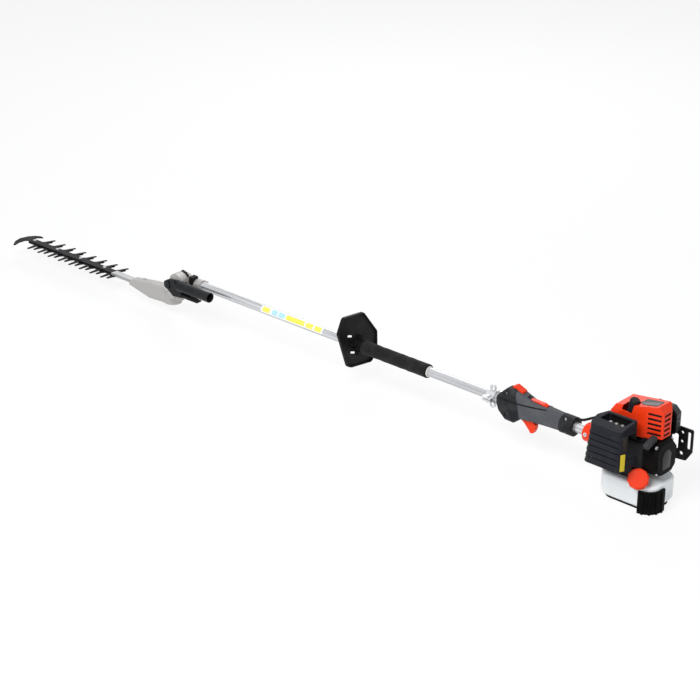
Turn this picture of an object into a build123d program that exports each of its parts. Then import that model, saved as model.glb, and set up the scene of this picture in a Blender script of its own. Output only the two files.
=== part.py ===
from build123d import *
import os
from math import atan2, cos, degrees, pi, radians, sin, sqrt, tan

os.makedirs("parts", exist_ok=True)

# A petrol long-reach hedge trimmer with an articulated cutting head.
# Working frame: the shaft axis runs along X (blades towards +X) at Z = 0, Y points left and Z up,
# and X = 0 is the mouth of the clutch case. At export the whole model moves so that the
# origin lies on the ground, in the middle of the stand's foot. All sizes are in millimetres.

# ---------------------------------------------------------------- shared clearances
RUN = 0.05            # radial running clearance of a shaft in its bearing
GAP = 0.4             # gap between parts that move past each other

# ---------------------------------------------------------------- shaft
TUBE_OD = 25.0
TUBE_WALL = 1.6
TUBE_REAR = -34.0     # depth of the tube in the clutch case
DRIVE_OD = 8.0
BUSH_COUNT = 3
BUSH_LENGTH = 30.0

# stations along the shaft
GRIP_REAR, GRIP_FRONT = 22.0, 258.0
HANGER_X = 280.0
FOAM_REAR, FOAM_FRONT = 492.0, 720.0
FOAM_OD = 38.0
GUARD_X = 744.0
PIVOT_X = 1420.0

# ---------------------------------------------------------------- cutting head
BLADE_DROP = 68.5     # middle of the blade pair below the shaft axis
BLADE_T = 2.4         # thickness of one blade
BLADE_GAP = 0.2       # oil gap between the blades
STROKE_R = 5.0        # crank offset of each blade (half of its stroke)
BAR_HALF = 13.0       # half width of a blade's bar
TOOTH_TIP = 50.0      # tooth tip from the middle of the bar
TOOTH_PITCH = 49.0
TOOTH_COUNT = 8
TOOTH_STAGGER = 11.0  # shift between the teeth of the two sides of a blade
TOOTH_LEAN = 12.0     # how far the right teeth's roots lie in front of their tips
GUIDE_T = 3.0
GUIDE_HALF = 11.0
BLADE_BOLTS = 4
BOLT_PITCH = 110.0
BOLT_D = 6.0
FLANGE_X = PIVOT_X + 79.0
NOSE_X = PIVOT_X + 223.0
FIRST_TIP_X = PIVOT_X + 306.0
BLADE_END_X = FIRST_TIP_X + TOOTH_PITCH * TOOTH_COUNT + 4.0
FIRST_BOLT_X = PIVOT_X + 356.0

# gear train of the head
BEVEL_MODULE = 1.25
PINION_TEETH = 10
PIVOT_TEETH = 20
OUTPUT_TEETH = 12
SPUR_MODULE = 1.5
SPUR_TEETH = 12
IDLER_TEETH = 19
CRANK_TEETH = 28
HUB_R = 18.0          # hub of the upper gearcase
HUB_RIGHT = -15.0     # its right face
HUB_LEFT = 8.5        # left face of the upper hub, where the head starts
HEAD_HUB_R = 26.0
OUTPUT_Y = 21.0       # distance of the upright shaft from the middle plane
CRANK_X = PIVOT_X + 52.0

# ---------------------------------------------------------------- engine
CASE_NECK_R = 24.0
CASE_FRONT = -12.0
BELL_R = 50.0
CRANK_X0, CRANK_X1 = -205.0, -92.0      # crankcase, rear and front face
STARTER_REAR = -245.0
COWL_REAR, COWL_FRONT = -236.0, -86.0
COWL_TOP = 138.0
TANK_REAR, TANK_FRONT = -247.0, -85.0
TANK_HALF = 58.0
TANK_TOP, TANK_BOTTOM = -54.0, -118.0
STAND_T = 7.0
GROUND = TANK_BOTTOM - STAND_T
STAND_X = (TANK_REAR + TANK_FRONT) / 2
CAP_R = 25.0

ORIGIN = Pos(-STAND_X, 0, -GROUND)


# ---------------------------------------------------------------- helpers
def outline(points, radius=0.0):
    """Closed polygon as a face, with every corner rounded when a radius is given."""
    face = make_face(Polyline(*points, close=True))
    return fillet(face.vertices(), radius) if radius else face


def along_x(sketch, x0, x1):
    """Extrude a (Y, Z) sketch from x0 to x1."""
    return extrude(Plane.YZ.offset(x0) * sketch, amount=x1 - x0)


def along_y(sketch, y0, y1):
    """Extrude an (X, Z) sketch from y0 to y1."""
    return extrude(Plane.XZ.offset(-y1) * sketch, amount=y1 - y0)


def along_z(sketch, z0, z1):
    """Extrude an (X, Y) sketch from z0 to z1."""
    return extrude(Plane.XY.offset(z0) * sketch, amount=z1 - z0)


def rod_x(x0, x1, radius, y=0.0, z=0.0):
    return along_x(Pos(y, z) * Circle(radius), x0, x1)


def rod_y(y0, y1, radius, x=0.0, z=0.0):
    return along_y(Pos(x, z) * Circle(radius), y0, y1)


def rod_z(z0, z1, radius, x=0.0, y=0.0):
    return along_z(Pos(x, y) * Circle(radius), z0, z1)


def block(x0, x1, y0, y1, z0, z1):
    return Pos((x0 + x1) / 2, (y0 + y1) / 2, (z0 + z1) / 2) * Box(x1 - x0, y1 - y0, z1 - z0)


def rounded_block(x0, x1, y0, y1, z0, z1, radius):
    """Block with its upright corners rounded."""
    face = Pos((x0 + x1) / 2, (y0 + y1) / 2) * RectangleRounded(x1 - x0, y1 - y0, radius)
    return along_z(face, z0, z1)


def gear_outline(teeth, module, phase=0.0, addendum=0.7, dedendum=0.95):
    """Straight-flanked gear outline with backlash; a tooth is centred on the phase angle (degrees)."""
    pitch_r = teeth * module / 2
    tip_r = pitch_r + addendum * module
    root_r = pitch_r - dedendum * module
    points = []
    for tooth in range(teeth):
        centre = radians(phase) + 2 * pi * tooth / teeth
        for r, share in ((root_r, -0.30), (tip_r, -0.13), (tip_r, 0.13), (root_r, 0.30)):
            angle = centre + share * 2 * pi / teeth
            points.append((r * cos(angle), r * sin(angle)))
    return outline(points)


def bevel_gear(teeth, mate_teeth, phase=0.0):
    """Bevel gear with its large end at Z = 0 and its teeth narrowing towards +Z."""
    face = mate_teeth * BEVEL_MODULE / 2 * (1 - BEVEL_SCALE)
    large = gear_outline(teeth, BEVEL_MODULE, phase, 0.5, 1.2)
    small = Pos(0, 0, face) * gear_outline(teeth, BEVEL_MODULE * BEVEL_SCALE, phase, 0.5, 1.2)
    return loft([large, small], ruled=True)


BEVEL_SCALE = 0.65    # small end of a bevel gear compared with its large end


# ---------------------------------------------------------------- shaft and handles
def main_tube():
    front = PIVOT_X - 40
    return rod_x(TUBE_REAR, front, TUBE_OD / 2) - rod_x(TUBE_REAR, front, TUBE_OD / 2 - TUBE_WALL)


def shaft_bushes():
    """Nylon bushes that carry the drive shaft inside the tube."""
    span = PIVOT_X - 40 - TUBE_REAR
    bushes = Part()
    for i in range(BUSH_COUNT):
        middle = TUBE_REAR + span * (i + 0.5) / BUSH_COUNT
        start, end = middle - BUSH_LENGTH / 2, middle + BUSH_LENGTH / 2
        bushes += rod_x(start, end, TUBE_OD / 2 - TUBE_WALL) - rod_x(start, end, DRIVE_OD / 2 + RUN)
    return bushes


HANGER_W = 26.0
HANGER_RING = TUBE_OD / 2 + 5
HANGER_SPLIT = 0.8
LUG_Y = HANGER_RING + 4
EYE_R, EYE_LOWER_R = 5.0, 5.5
EYE_Z = HANGER_RING + EYE_R + 1
EYE_LOWER_Z = -HANGER_RING - EYE_LOWER_R - 1


def hanger_profile():
    """Clamp profile across the shaft: a ring with a flat lug on each side."""
    ring = Circle(HANGER_RING)
    lugs = Rectangle(2 * LUG_Y + 14, 11)
    return ring + lugs - Circle(TUBE_OD / 2)


def harness_clamp():
    """Upper half of the hanger clamp, with the eye for the harness hook on top."""
    x0, x1 = HANGER_X - HANGER_W / 2, HANGER_X + HANGER_W / 2
    half = along_x(hanger_profile(), x0, x1) & block(x0, x1, -40, 40, HANGER_SPLIT, 40)
    holes = [rod_z(-20, 20, 2.6, HANGER_X, side * LUG_Y) for side in (-1, 1)]
    outer = EYE_R + 3.5
    eye = along_y(Pos(HANGER_X, EYE_Z) * Circle(outer), -3, 3)
    foot = block(HANGER_X - outer, HANGER_X + outer, -3, 3, TUBE_OD / 2 + 3, EYE_Z)
    return half - holes + (eye + foot - rod_y(-4, 4, EYE_R, HANGER_X, EYE_Z) - rod_x(x0, x1, TUBE_OD / 2))


def harness_clamp_lower():
    x0, x1 = HANGER_X - HANGER_W / 2, HANGER_X + HANGER_W / 2
    half = along_x(hanger_profile(), x0, x1) & block(x0, x1, -40, 40, -40, -HANGER_SPLIT)
    holes = [rod_z(-20, 20, 2.6, HANGER_X, side * LUG_Y) for side in (-1, 1)]
    ring = along_y(Pos(HANGER_X, EYE_LOWER_Z) * Circle(EYE_LOWER_R + 3.5), -2.5, 2.5)
    neck = block(HANGER_X - 4, HANGER_X + 4, -2.5, 2.5, EYE_LOWER_Z, -TUBE_OD / 2 - 3)
    bore = rod_y(-4, 4, EYE_LOWER_R, HANGER_X, EYE_LOWER_Z)
    return half - holes + (ring + neck - bore - rod_x(x0, x1, TUBE_OD / 2))


def clamp_bolts():
    """Two socket screws with nuts through the hanger clamp."""
    bolts = Part()
    for side in (-1, 1):
        y = side * LUG_Y
        bolts += rod_z(-9, 5.5, 2.6, HANGER_X, y) + rod_z(5.5, 10, 4.2, HANGER_X, y)
        bolts += along_z(Pos(HANGER_X, y) * RegularPolygon(4.6, 6), -9.5, -5.5)
    return bolts


def foam_grip():
    ring = Circle(FOAM_OD / 2) - Circle(TUBE_OD / 2)
    grip = along_x(ring, FOAM_REAR, FOAM_FRONT)
    return fillet(grip.edges().filter_by(GeomType.CIRCLE).sort_by(SortBy.RADIUS)[-2:], 3)


def hand_guard():
    """Curved barrier plate in front of the foam grip, with the hub that clamps it on the shaft."""
    plate_t, hub_r = 3.0, 17.0
    corners = [(-20, 89), (60, 97), (80, 56), (44, -50), (28, -57), (-54, -67), (-75, -28), (-74, 18)]
    face = outline(corners, 12)
    plate = along_x(face, GUARD_X, GUARD_X + plate_t)
    rim = along_x(face - offset(face, -3), GUARD_X - 5, GUARD_X)
    hub = rod_x(FOAM_FRONT, GUARD_X + plate_t + 6, hub_r)
    webs = along_x(Rot(0, 0, 20) * Rectangle(70, 4), GUARD_X - 12, GUARD_X)
    webs += along_x(Rot(0, 0, 20) * Rectangle(4, 56), GUARD_X - 12, GUARD_X)
    guard = plate + rim + hub + webs
    for y, z in ((29, 33), (18, -18)):
        guard -= along_x(Pos(y, z) * Rot(0, 0, 20) * Rectangle(20, 6), GUARD_X - 14, GUARD_X + 6)
    return guard - rod_x(FOAM_FRONT, GUARD_X + 12, TUBE_OD / 2)


# ---------------------------------------------------------------- throttle grip
TRIGGER_PIVOT = (181.0, -21.5)
LOCK_PIVOT = (112.0, 22.5)
SWITCH_REAR, SWITCH_FRONT = 180.0, 212.0
SWITCH_TRAVEL = 4.0
GRIP_SPLIT = 0.15
COLLAR_END = GRIP_REAR + 36.0
COLLAR_R = 25.0
COLLAR_SCREW_X = GRIP_REAR + 21.0
GRIP_SCREWS = [(224.0, 32.0), (COLLAR_SCREW_X, 17.5), (COLLAR_SCREW_X, -17.5), (222.0, -25.0)]


def grip_body():
    """Outer form of the throttle grip, lofted through sections (x, bottom, top, half width)."""
    sections = [(COLLAR_END, -22, 24, 15), (114, -25, 27, 16), (150, -27, 30, 18), (184, -31, 42, 20),
                (204, -47, 49, 22), (228, -46, 43, 22), (GRIP_FRONT - 9, -30, 24, 19)]
    faces = []
    for x, low, high, half in sections:
        shape = Pos(0, (low + high) / 2) * RectangleRounded(2 * half, high - low, half * 0.72)
        faces.append(Plane.YZ.offset(x) * shape)
    nose = [faces[-1], Plane.YZ.offset(GRIP_FRONT) * RectangleRounded(30, 32, 11)]
    return loft(faces, ruled=True) + loft(nose, ruled=True) + rod_x(GRIP_REAR, COLLAR_END, COLLAR_R)


def grip_shell(side):
    """Left (side = 1) or right (side = -1) half of the throttle grip."""
    y0, y1 = (GRIP_SPLIT, 40) if side > 0 else (-40, -GRIP_SPLIT)
    shell = grip_body() & block(GRIP_REAR - 2, GRIP_FRONT + 2, y0, y1, -80, 80)
    shell -= rod_x(GRIP_REAR - 2, GRIP_FRONT + 2, TUBE_OD / 2)
    shell -= block(133, 197, -7, 7, -70, -TUBE_OD / 2 - 1)
    shell -= block(105, 168, -6.5, 6.5, TUBE_OD / 2 + 1, 60)
    shell -= block(SWITCH_REAR - GAP, SWITCH_FRONT + SWITCH_TRAVEL + GAP, -9, 9, 30, 80)
    shell -= rod_x(GRIP_REAR - 2, CONDUIT_EXIT[0] + 1, CONDUIT_R, *CONDUIT_EXIT[1:])
    shell -= rod_y(-12, 12, 2.0, *TRIGGER_PIVOT) + rod_y(-12, 12, 1.5, *LOCK_PIVOT)
    for x, z in GRIP_SCREWS:
        shell -= rod_y(-12, 40, 2.2, x, z)
        if side > 0:
            shell -= rod_y(screw_seat(x), 40, 4.3, x, z)
    return shell


def screw_seat(x):
    """Depth of a screw head's seat from the middle plane."""
    return 11.0 if x < 100 else 14.0


def grip_screws():
    screws = Part()
    for x, z in GRIP_SCREWS:
        seat = screw_seat(x)
        screws += rod_y(-12, seat, 2.2, x, z) + rod_y(seat, seat + 3, 4.0, x, z)
    return screws


CONDUIT_R = 3.6
CONDUIT_EXIT = (GRIP_REAR + 7, -6.0, 19.0)


def control_conduit():
    """Corrugated conduit for the throttle cable and switch leads, from the grip to the engine."""
    points = [CONDUIT_EXIT, (GRIP_REAR - 12, -6.0, 19.0), (CASE_FRONT - 2, -8, 32), (-40, -13, 46), (-64, -17, 56),
              (-84, -20, 62)]
    route = FilletPolyline(*points, radius=[30, 60, 60, 60])
    start = Plane(origin=points[0], z_dir=(-1, 0, 0))
    return sweep(start * Circle(CONDUIT_R), path=route)


def throttle_trigger():
    """Throttle trigger below the grip, turning about a cross pin at its front end."""
    x, z = TRIGGER_PIVOT
    side = outline([(x + 7, z + 4.5), (x + 9, z - 8), (x - 5, z - 16), (x - 18, z - 29), (x - 27, z - 39),
                    (x - 35, z - 37), (x - 40, z - 26), (x - 42, z - 14), (x - 30, z - 6),
                    (x - 8, z + 4.5)], 2)
    return along_y(side, -6, 6) - rod_y(-7, 7, 2.0 + RUN, x, z)


def trigger_pins():
    """Cross pins of the trigger and of the lockout lever."""
    return rod_y(-12, 12, 2.0, *TRIGGER_PIVOT) + rod_y(-12, 12, 1.5, *LOCK_PIVOT)


def throttle_lockout():
    """Lockout lever on top of the grip, pressed by the palm before the trigger can move."""
    x, z = LOCK_PIVOT
    side = outline([(x - 4, z - 3.5), (x + 4, z - 3.5), (x + 50, z - 1), (x + 51, z + 4),
                    (x + 45, z + 10), (x + 6, z + 9), (x - 4, z + 5)], 2)
    return along_y(side, -6, 6) - rod_y(-7, 7, 1.5 + RUN, x, z)


def stop_switch():
    """Sliding stop switch on the hump of the grip."""
    rear, front = SWITCH_REAR, SWITCH_FRONT
    side = outline([(rear, 33), (front, 33), (front, 53), (front - 7, 55), (rear, 46)], 1.5)
    return along_y(side, -8.5, 8.5)


# ---------------------------------------------------------------- engine
def clutch_case():
    """Orange clutch case: the neck that clamps the shaft tube and the bell around the drum."""
    neck, bell, wall = CASE_NECK_R, BELL_R, 5.0
    profile = [(CASE_FRONT, neck - 2), (CASE_FRONT - 3, neck), (CASE_FRONT - 22, neck), (-52, 42),
               (CRANK_X1 + 14, bell), (CRANK_X1, bell), (CRANK_X1, bell - wall), (CRANK_X1 + 14, bell - wall),
               (-55, 38.5), (-44, 20), (TUBE_REAR, 18), (TUBE_REAR, TUBE_OD / 2), (CASE_FRONT, TUBE_OD / 2)]
    case = revolve(Plane.XZ * outline(profile), axis=Axis.X)
    return case - block(-30, CASE_FRONT + 1, -0.8, 0.8, -40, -10)


def crankcase():
    """Crankcase with the fan shroud in front and the cylinder's flange on top."""
    shroud_rear = CRANK_X1 - 34
    body = rounded_block(CRANK_X0, shroud_rear, -34, 34, -38, 40, 10)
    body += rod_x(shroud_rear, CRANK_X1, BELL_R) + along_x(Rectangle(92, 92), CRANK_X1 - 6, CRANK_X1 - 1)
    body -= rod_x(shroud_rear + 4, CRANK_X1 + 1, BELL_R - 4)
    body += block(CRANK_X0 + 10, CRANK_X1 - 40, -30, 30, 40, CYL_BASE)
    for side in (-1, 1):
        body += block(-176, shroud_rear + 4, side * 36 - 6, side * 36 + 6, TANK_TOP, -28)
    body -= rod_x(shroud_rear + 4, CRANK_X1 + 1, BELL_R - 4)
    body -= rod_x(CRANK_X0 - 1, CRANK_X1 + 1, 10 + RUN)
    return body - rod_x(CRANK_X0 + 14, -142, 27)


CYL_X = -150.0
CYL_BASE, CYL_TOP = 44.0, 100.0
FIN_COUNT = 8
FIN_PITCH = 6.5
PORT_X, PORT_Z, PORT_Y = -139.0, 62.0, 30.0
PLUG_PLACE = Pos(-145, 13, 103) * Rot(0, -14, 0)
BOOT_R = 12.0
UPWARD = (Align.CENTER, Align.CENTER, Align.MIN)
DOWNWARD = (Align.CENTER, Align.CENTER, Align.MAX)


def cylinder():
    """Aluminium cylinder with cooling fins, the exhaust flange and the spark plug boss."""
    barrel = rod_z(CYL_BASE, CYL_TOP, 21, CYL_X)
    fin = outline([(-176, -28), (-176, 16), (-162, 23), (-126, 29), (-126, -28)])
    for i in range(FIN_COUNT):
        z = CYL_BASE + 6 + i * FIN_PITCH
        barrel += along_z(fin, z, z + 2.2)
    barrel += block(PORT_X - 13, PORT_X + 13, 15, PORT_Y, PORT_Z - 12, PORT_Z + 12)
    return barrel + PLUG_PLACE * Cylinder(10, 12, align=DOWNWARD)


def spark_plug():
    """Spark plug on top of the cylinder, leaning to the rear."""
    plug = Cylinder(6.8, 7, align=UPWARD) + Pos(0, 0, 7) * Cylinder(4.2, 10, align=UPWARD)
    return PLUG_PLACE * plug


def plug_cap():
    """Rubber cap pushed over the spark plug."""
    body = Pos(0, 0, 3) * Cylinder(BOOT_R, 34, align=UPWARD)
    body = fillet(body.edges().sort_by(Axis.Z)[-1:], 5)
    body -= Cylinder(6.8, 7, align=UPWARD)
    body -= Cylinder(4.2, 17, align=UPWARD)
    return PLUG_PLACE * body


COWL_LEFT_SLOPE = degrees(atan2(40.0 - 13.0, -112.0 - COWL_REAR))


def cowl_form(wall):
    """Outer form of the cowl (wall = 0) or the hollow inside it (wall = its thickness)."""
    rear, front, top = COWL_REAR, COWL_FRONT, COWL_TOP
    drop = 10 if wall else 0
    side = outline([(rear, 58 - drop), (-203, 58 - drop), (-203, 52 - drop), (front, 52 - drop), (front, 76),
                    (-113, top - 17), (-222, top + 1), (rear, top - 13)], 2.5)
    across = outline([(-44, 50 - drop), (42, 50 - drop), (42, 86), (26, top + 8), (-30, top + 8), (-44, 100)], 8)
    plan = outline([(rear, -21), (rear, 13), (-112, 40), (front, 30), (front, -26), (-108, -44), (-214, -44)], 5)
    if wall:
        side, across, plan = offset(side, -wall), offset(across, -wall), offset(plan, -wall)
    form = along_y(side, -50, 50) & along_x(across, rear - 5, front + 5)
    return form & along_z(plan, 30, top + 12)


def engine_cowl():
    """Orange engine cowl with a plug recess open to the left, louvres and openings for both ports."""
    cowl = cowl_form(0) - cowl_form(3)
    cowl -= PLUG_PLACE * Pos(0, 0, -8) * Cylinder(BOOT_R + 3.5, 70, align=UPWARD)
    cowl -= PLUG_PLACE * Pos(3, 22, 6) * Box(2 * BOOT_R + 2, 44, 60, align=UPWARD)
    cowl -= block(PORT_X - 16, PORT_X + 16, PORT_Y - 3, 50, 40, PORT_Z + 15)
    cowl -= block(CYL_X - 22, CYL_X + 22, -50, -36, 40, 92)
    for i in range(5):
        z = 64 + i * 12.5
        cowl -= block(COWL_REAR - 2, COWL_REAR + 6, -16, 9, z, z + 6.5)
        cowl -= Pos(-214, 17.8, z + 3.25) * Rot(0, 0, COWL_LEFT_SLOPE) * Box(34, 8, 6.5)
    return cowl


def starter_form():
    """Rounded outline of the recoil starter, seen from behind."""
    return outline([(-42, 30), (-22, 54), (30, 54), (46, 30), (42, -14), (22, -36), (-22, -36), (-40, -20)], 9)


ROPE_YZ = (47.0, 60.0)
HANDLE_X = -225.0


def starter_housing():
    """Recoil starter housing at the rear, with cooling slots and the rope guide at its corner."""
    shoulder = STARTER_REAR + 9
    body = along_x(starter_form(), shoulder, CRANK_X0)
    body += extrude(Plane.YZ.offset(shoulder) * starter_form(), amount=STARTER_REAR - shoulder, taper=30)
    body -= along_x(offset(starter_form(), -4), shoulder - 4, CRANK_X0)
    body += rod_x(shoulder - 5, -222, 6)
    for i in range(5):
        z = -24 + i * 11
        body -= block(shoulder + 6, CRANK_X0 - 7, -50, -34, z, z + 4.5)
    y, z = ROPE_YZ
    body += block(HANDLE_X + 7.5, CRANK_X0, 26, y, 44, z - 6) + rod_x(HANDLE_X + 7.5, CRANK_X0, 8, y, z)
    body -= along_x(offset(starter_form(), -4), shoulder - 4, CRANK_X0) - rod_x(shoulder - 5, -222, 6)
    return body - rod_x(HANDLE_X, CRANK_X0 + 1, 5, y, z)


def starter_handle():
    """Pull handle of the starter, resting on the rope guide; the rope itself is left out."""
    y, z = ROPE_YZ
    bar = along_x(RectangleRounded(42, 14, 5), HANDLE_X - 6, HANDLE_X + 6)
    return Pos(0, y, z + 1) * Rot(-18, 0, 0) * bar + rod_x(HANDLE_X, HANDLE_X + 17, 4.4, y, z)


def starter_pulley():
    """Rope drum of the starter, turning on the housing's centre post."""
    drum = rod_x(-236, -233, 29) + rod_x(-233, -227, 22) + rod_x(-227, -224, 29)
    return drum - rod_x(-238, -222, 6 + RUN)


MUFFLER_IN, MUFFLER_OUT = 52.0, 86.0


def muffler():
    """Muffler on the left of the cylinder, with a row of holding screws and the outlet."""
    can = rounded_block(-170, -112, MUFFLER_IN, MUFFLER_OUT, 20, 84, 8)
    can = chamfer(can.faces().sort_by(Axis.Z)[-1].edges(), 4)
    for x in (-158, -141, -124):
        can += along_z(Pos(x, 67) * RegularPolygon(4.6, 6), 83, 88)
    can += rod_y(PORT_Y, MUFFLER_IN + 1, 10, PORT_X, PORT_Z)
    return can + rod_x(-112, -104, 6, 70, 46)


GUARD_IN, GUARD_OUT = 51.0, 112.0
GUARD_TOP_IN, GUARD_TOP_OUT = 107.0, 88.0
GUARD_LOW = -10.0
GUARD_T = 3.0
SLATS = 6
SLAT_SPREAD = 1.6     # how much further out each lower slat stands
SLAT_TAPER = 15.0
GUARD_TOP_GROW = -4.0
BELT_GROW = GUARD_TOP_GROW - 3.0


def guard_plan(grow=0.0):
    """Plan outline of the muffler guard, offset outwards by the given amount."""
    out = GUARD_OUT - 1
    face = outline([(-115, 30), (-82, out - 40), (-85, out), (-186, out), (-198, 30)], 14)
    return offset(face, grow) if grow else face


def muffler_guard():
    """Black louvred guard around the muffler: slats that step out downwards, an open top and an open rear."""
    belt = GUARD_TOP_OUT - 8
    step = (belt - GUARD_LOW) / SLATS
    sunk = step * tan(radians(SLAT_TAPER)) + GUARD_T
    wall = along_z(guard_plan(BELT_GROW), belt, GUARD_TOP_IN + 6)
    inside = along_z(guard_plan(BELT_GROW - GUARD_T), belt - 1, 130)
    for i in range(SLATS):
        low, grow = GUARD_LOW + i * step, GUARD_TOP_GROW + (SLATS - 1 - i) * SLAT_SPREAD
        wall += extrude(Plane.XY.offset(low) * guard_plan(grow), amount=step, taper=SLAT_TAPER)
        inside += along_z(guard_plan(grow - sunk), low - 1, low + step + 1)
    slope = degrees(atan2(GUARD_TOP_IN - GUARD_TOP_OUT, GUARD_OUT - GUARD_IN))
    lid_plane = Pos(-140, GUARD_IN, GUARD_TOP_IN) * Rot(-slope, 0, 0)
    reach = GUARD_OUT + 40 - GUARD_IN
    above = lid_plane * Pos(0, reach / 2, 30) * Box(180, reach + 50, 60)
    above += Pos(-140, GUARD_OUT, GUARD_TOP_OUT - 6) * Rot(-50, 0, 0) * Pos(0, 0, 20) * Box(180, 60, 40)
    wall -= above
    wall -= inside
    wall -= block(-230, -50, 0, GUARD_IN, GUARD_LOW - 1, 130)
    wall -= block(-214, -176, 40, GUARD_OUT - 14, GUARD_LOW + 26, GUARD_TOP_OUT - 12)
    for i in range(1, SLATS):
        z = GUARD_LOW + i * step
        wall -= block(-102, -74, 52, GUARD_OUT - 12, z - 3, z + 3)
        wall -= block(-178, -96, GUARD_OUT - 18, GUARD_OUT + 20, z - 1.7, z + 1.7)
    lid = guard_plan(BELT_GROW - 0.1) & (Pos(-140, GUARD_IN + reach / 2) * Rectangle(180, reach))
    lid = along_z(lid, 40, 130)
    lid -= above
    lid &= lid_plane * Pos(0, reach / 2, -GUARD_T / 2) * Box(180, reach + 50, GUARD_T)
    edge = GUARD_IN + 5
    lid -= along_z(outline([(-112, edge), (-102, GUARD_OUT - 31), (-172, GUARD_OUT - 28), (-182, edge)], 3), 40, 130)
    wall += lid + block(-147, -133, MUFFLER_OUT, GUARD_OUT - 5, 40, 43)
    return wall - CAP_PLACE * Pos(0, 0, -6) * Cylinder(CAP_R + 4, 50, align=UPWARD)


CARB_IN, CARB_OUT = -50.0, -66.0
AIR_REAR, AIR_FRONT = -219.0, -130.0
AIR_OUT = -97.0
CARB_Z = 67.0


def carburettor():
    """Carburettor with its insulator on the right of the cylinder, and the choke spindle in front."""
    insulator = block(CYL_X - 17, CYL_X + 17, CARB_IN, -28, 51, 83)
    body = block(CYL_X - 16, CYL_X + 16, CARB_OUT, CARB_IN, 46, 87)
    spindle = rod_x(CYL_X + 15, CYL_X + 26.5, 2, -58, 80) + rod_x(CYL_X + 26.5, CYL_X + 28.5, 4, -58, 80)
    pocket = rod_z(40, 50.5, 8.4, CYL_X, -58)
    return insulator + body + spindle - pocket - rod_y(CARB_OUT - 1, -27, 8, CYL_X, CARB_Z)


def air_cleaner_body():
    """Base plate of the air cleaner, bolted to the carburettor."""
    face = outline([(AIR_REAR + 3, 38), (AIR_FRONT - 3, 38), (AIR_FRONT - 3, 96), (AIR_REAR + 3, 96)], 10)
    return along_y(face, CARB_OUT - 5, CARB_OUT) - rod_y(CARB_OUT - 6, CARB_OUT + 1, 8, CYL_X, CARB_Z)


def air_cleaner_cover():
    """Dark domed cover of the air cleaner, with intake slots low on its rear side."""
    side = outline([(AIR_REAR, 34), (AIR_FRONT, 34), (AIR_FRONT, 90), (AIR_FRONT - 18, 105),
                    (AIR_REAR + 18, 105), (AIR_REAR, 88)], 9)
    inner = CARB_OUT - 5
    cover = extrude(Plane.XZ.offset(-inner) * side, amount=inner - AIR_OUT, taper=12)
    cover -= extrude(Plane.XZ.offset(-inner - 0.01) * offset(side, -3), amount=inner - AIR_OUT - 3, taper=12)
    for i in range(3):
        z = 46 + i * 12
        cover -= block(AIR_REAR - 2, AIR_REAR + 14, AIR_OUT + 8, inner - 5, z, z + 4)
    return cover + rod_y(AIR_OUT - 6, AIR_OUT + 1, 9, -176, 66)


def choke_lever():
    """Choke lever in front of the carburettor, turning on the choke spindle."""
    x0 = CYL_X + 21.5
    arm = along_x(outline([(-63, 78), (-53, 78), (-55, 108), (-61, 108)], 2), x0, x0 + 3)
    return arm + rod_x(x0 - 1, x0 + 4, 6, -58, 80) - rod_x(x0 - 2, x0 + 5, 2 + RUN, -58, 80)


PRIME_TRAVEL = 3.0


def purge_bulb():
    """Primer bulb under the carburettor, pushed in by a thumb."""
    dome = Sphere(8) & (Pos(0, 0, -10) * Box(20, 20, 20))
    return Pos(CYL_X, -58, 46) * (Cylinder(8, 3, align=DOWNWARD) + Pos(0, 0, -3) * dome)


def side_guard():
    """Perforated guard plate on the right, carried by two arms from the crankcase."""
    y0, y1 = -112, -108
    frame = along_y(outline([(-244, 40), (-244, -20), (-228, -46), (-188, -50), (-176, -36), (-176, 20),
                             (-190, 40)], 5), y0, y1)
    frame -= along_y(outline([(-238, 32), (-238, -14), (-229, -14), (-229, 32)], 3), y0 - 1, y1 + 1)
    frame -= along_y(outline([(-204, -22), (-184, -22), (-184, 18), (-204, 18)], 4), y0 - 1, y1 + 1)
    for x, z, r in ((-214, -30, 5), (-214, 2, 4), (-214, 26, 4)):
        frame -= rod_y(y0 - 1, y1 + 1, r, x, z)
    return frame + block(-190, -180, y1, -34, 22, 29) + block(-190, -180, y1, -34, -34, -27)


CAP_PLACE = Pos(-206, 58, -40) * Rot(-42, -22, 0)


def fuel_tank():
    """Translucent fuel tank under the engine, with its filler neck at the left rear."""
    tank = rounded_block(TANK_REAR, TANK_FRONT, -TANK_HALF, TANK_HALF, TANK_BOTTOM, TANK_TOP, 35)
    tank = fillet(tank.faces().sort_by(Axis.Z)[0].edges(), 14)
    tank = fillet(tank.faces().sort_by(Axis.Z)[-1].edges(), 8)
    neck = CAP_PLACE * Cylinder(CAP_R - 8, 26, align=DOWNWARD)
    return tank + neck


def fuel_cap():
    """Orange fuel cap with grip ribs, screwed on the filler neck."""
    cap = Cylinder(CAP_R, 13, align=UPWARD)
    cap = chamfer(cap.edges().sort_by(Axis.Z)[-1:], 2.5)
    for i in range(10):
        cap += Rot(0, 0, 36 * i) * Pos(CAP_R, 0, 5) * Box(2.4, 4, 8)
    return CAP_PLACE * cap


WRAP_TOP = -66.0
WRAP_T = 6.0
TANK_CORNER = 35.0


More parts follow.
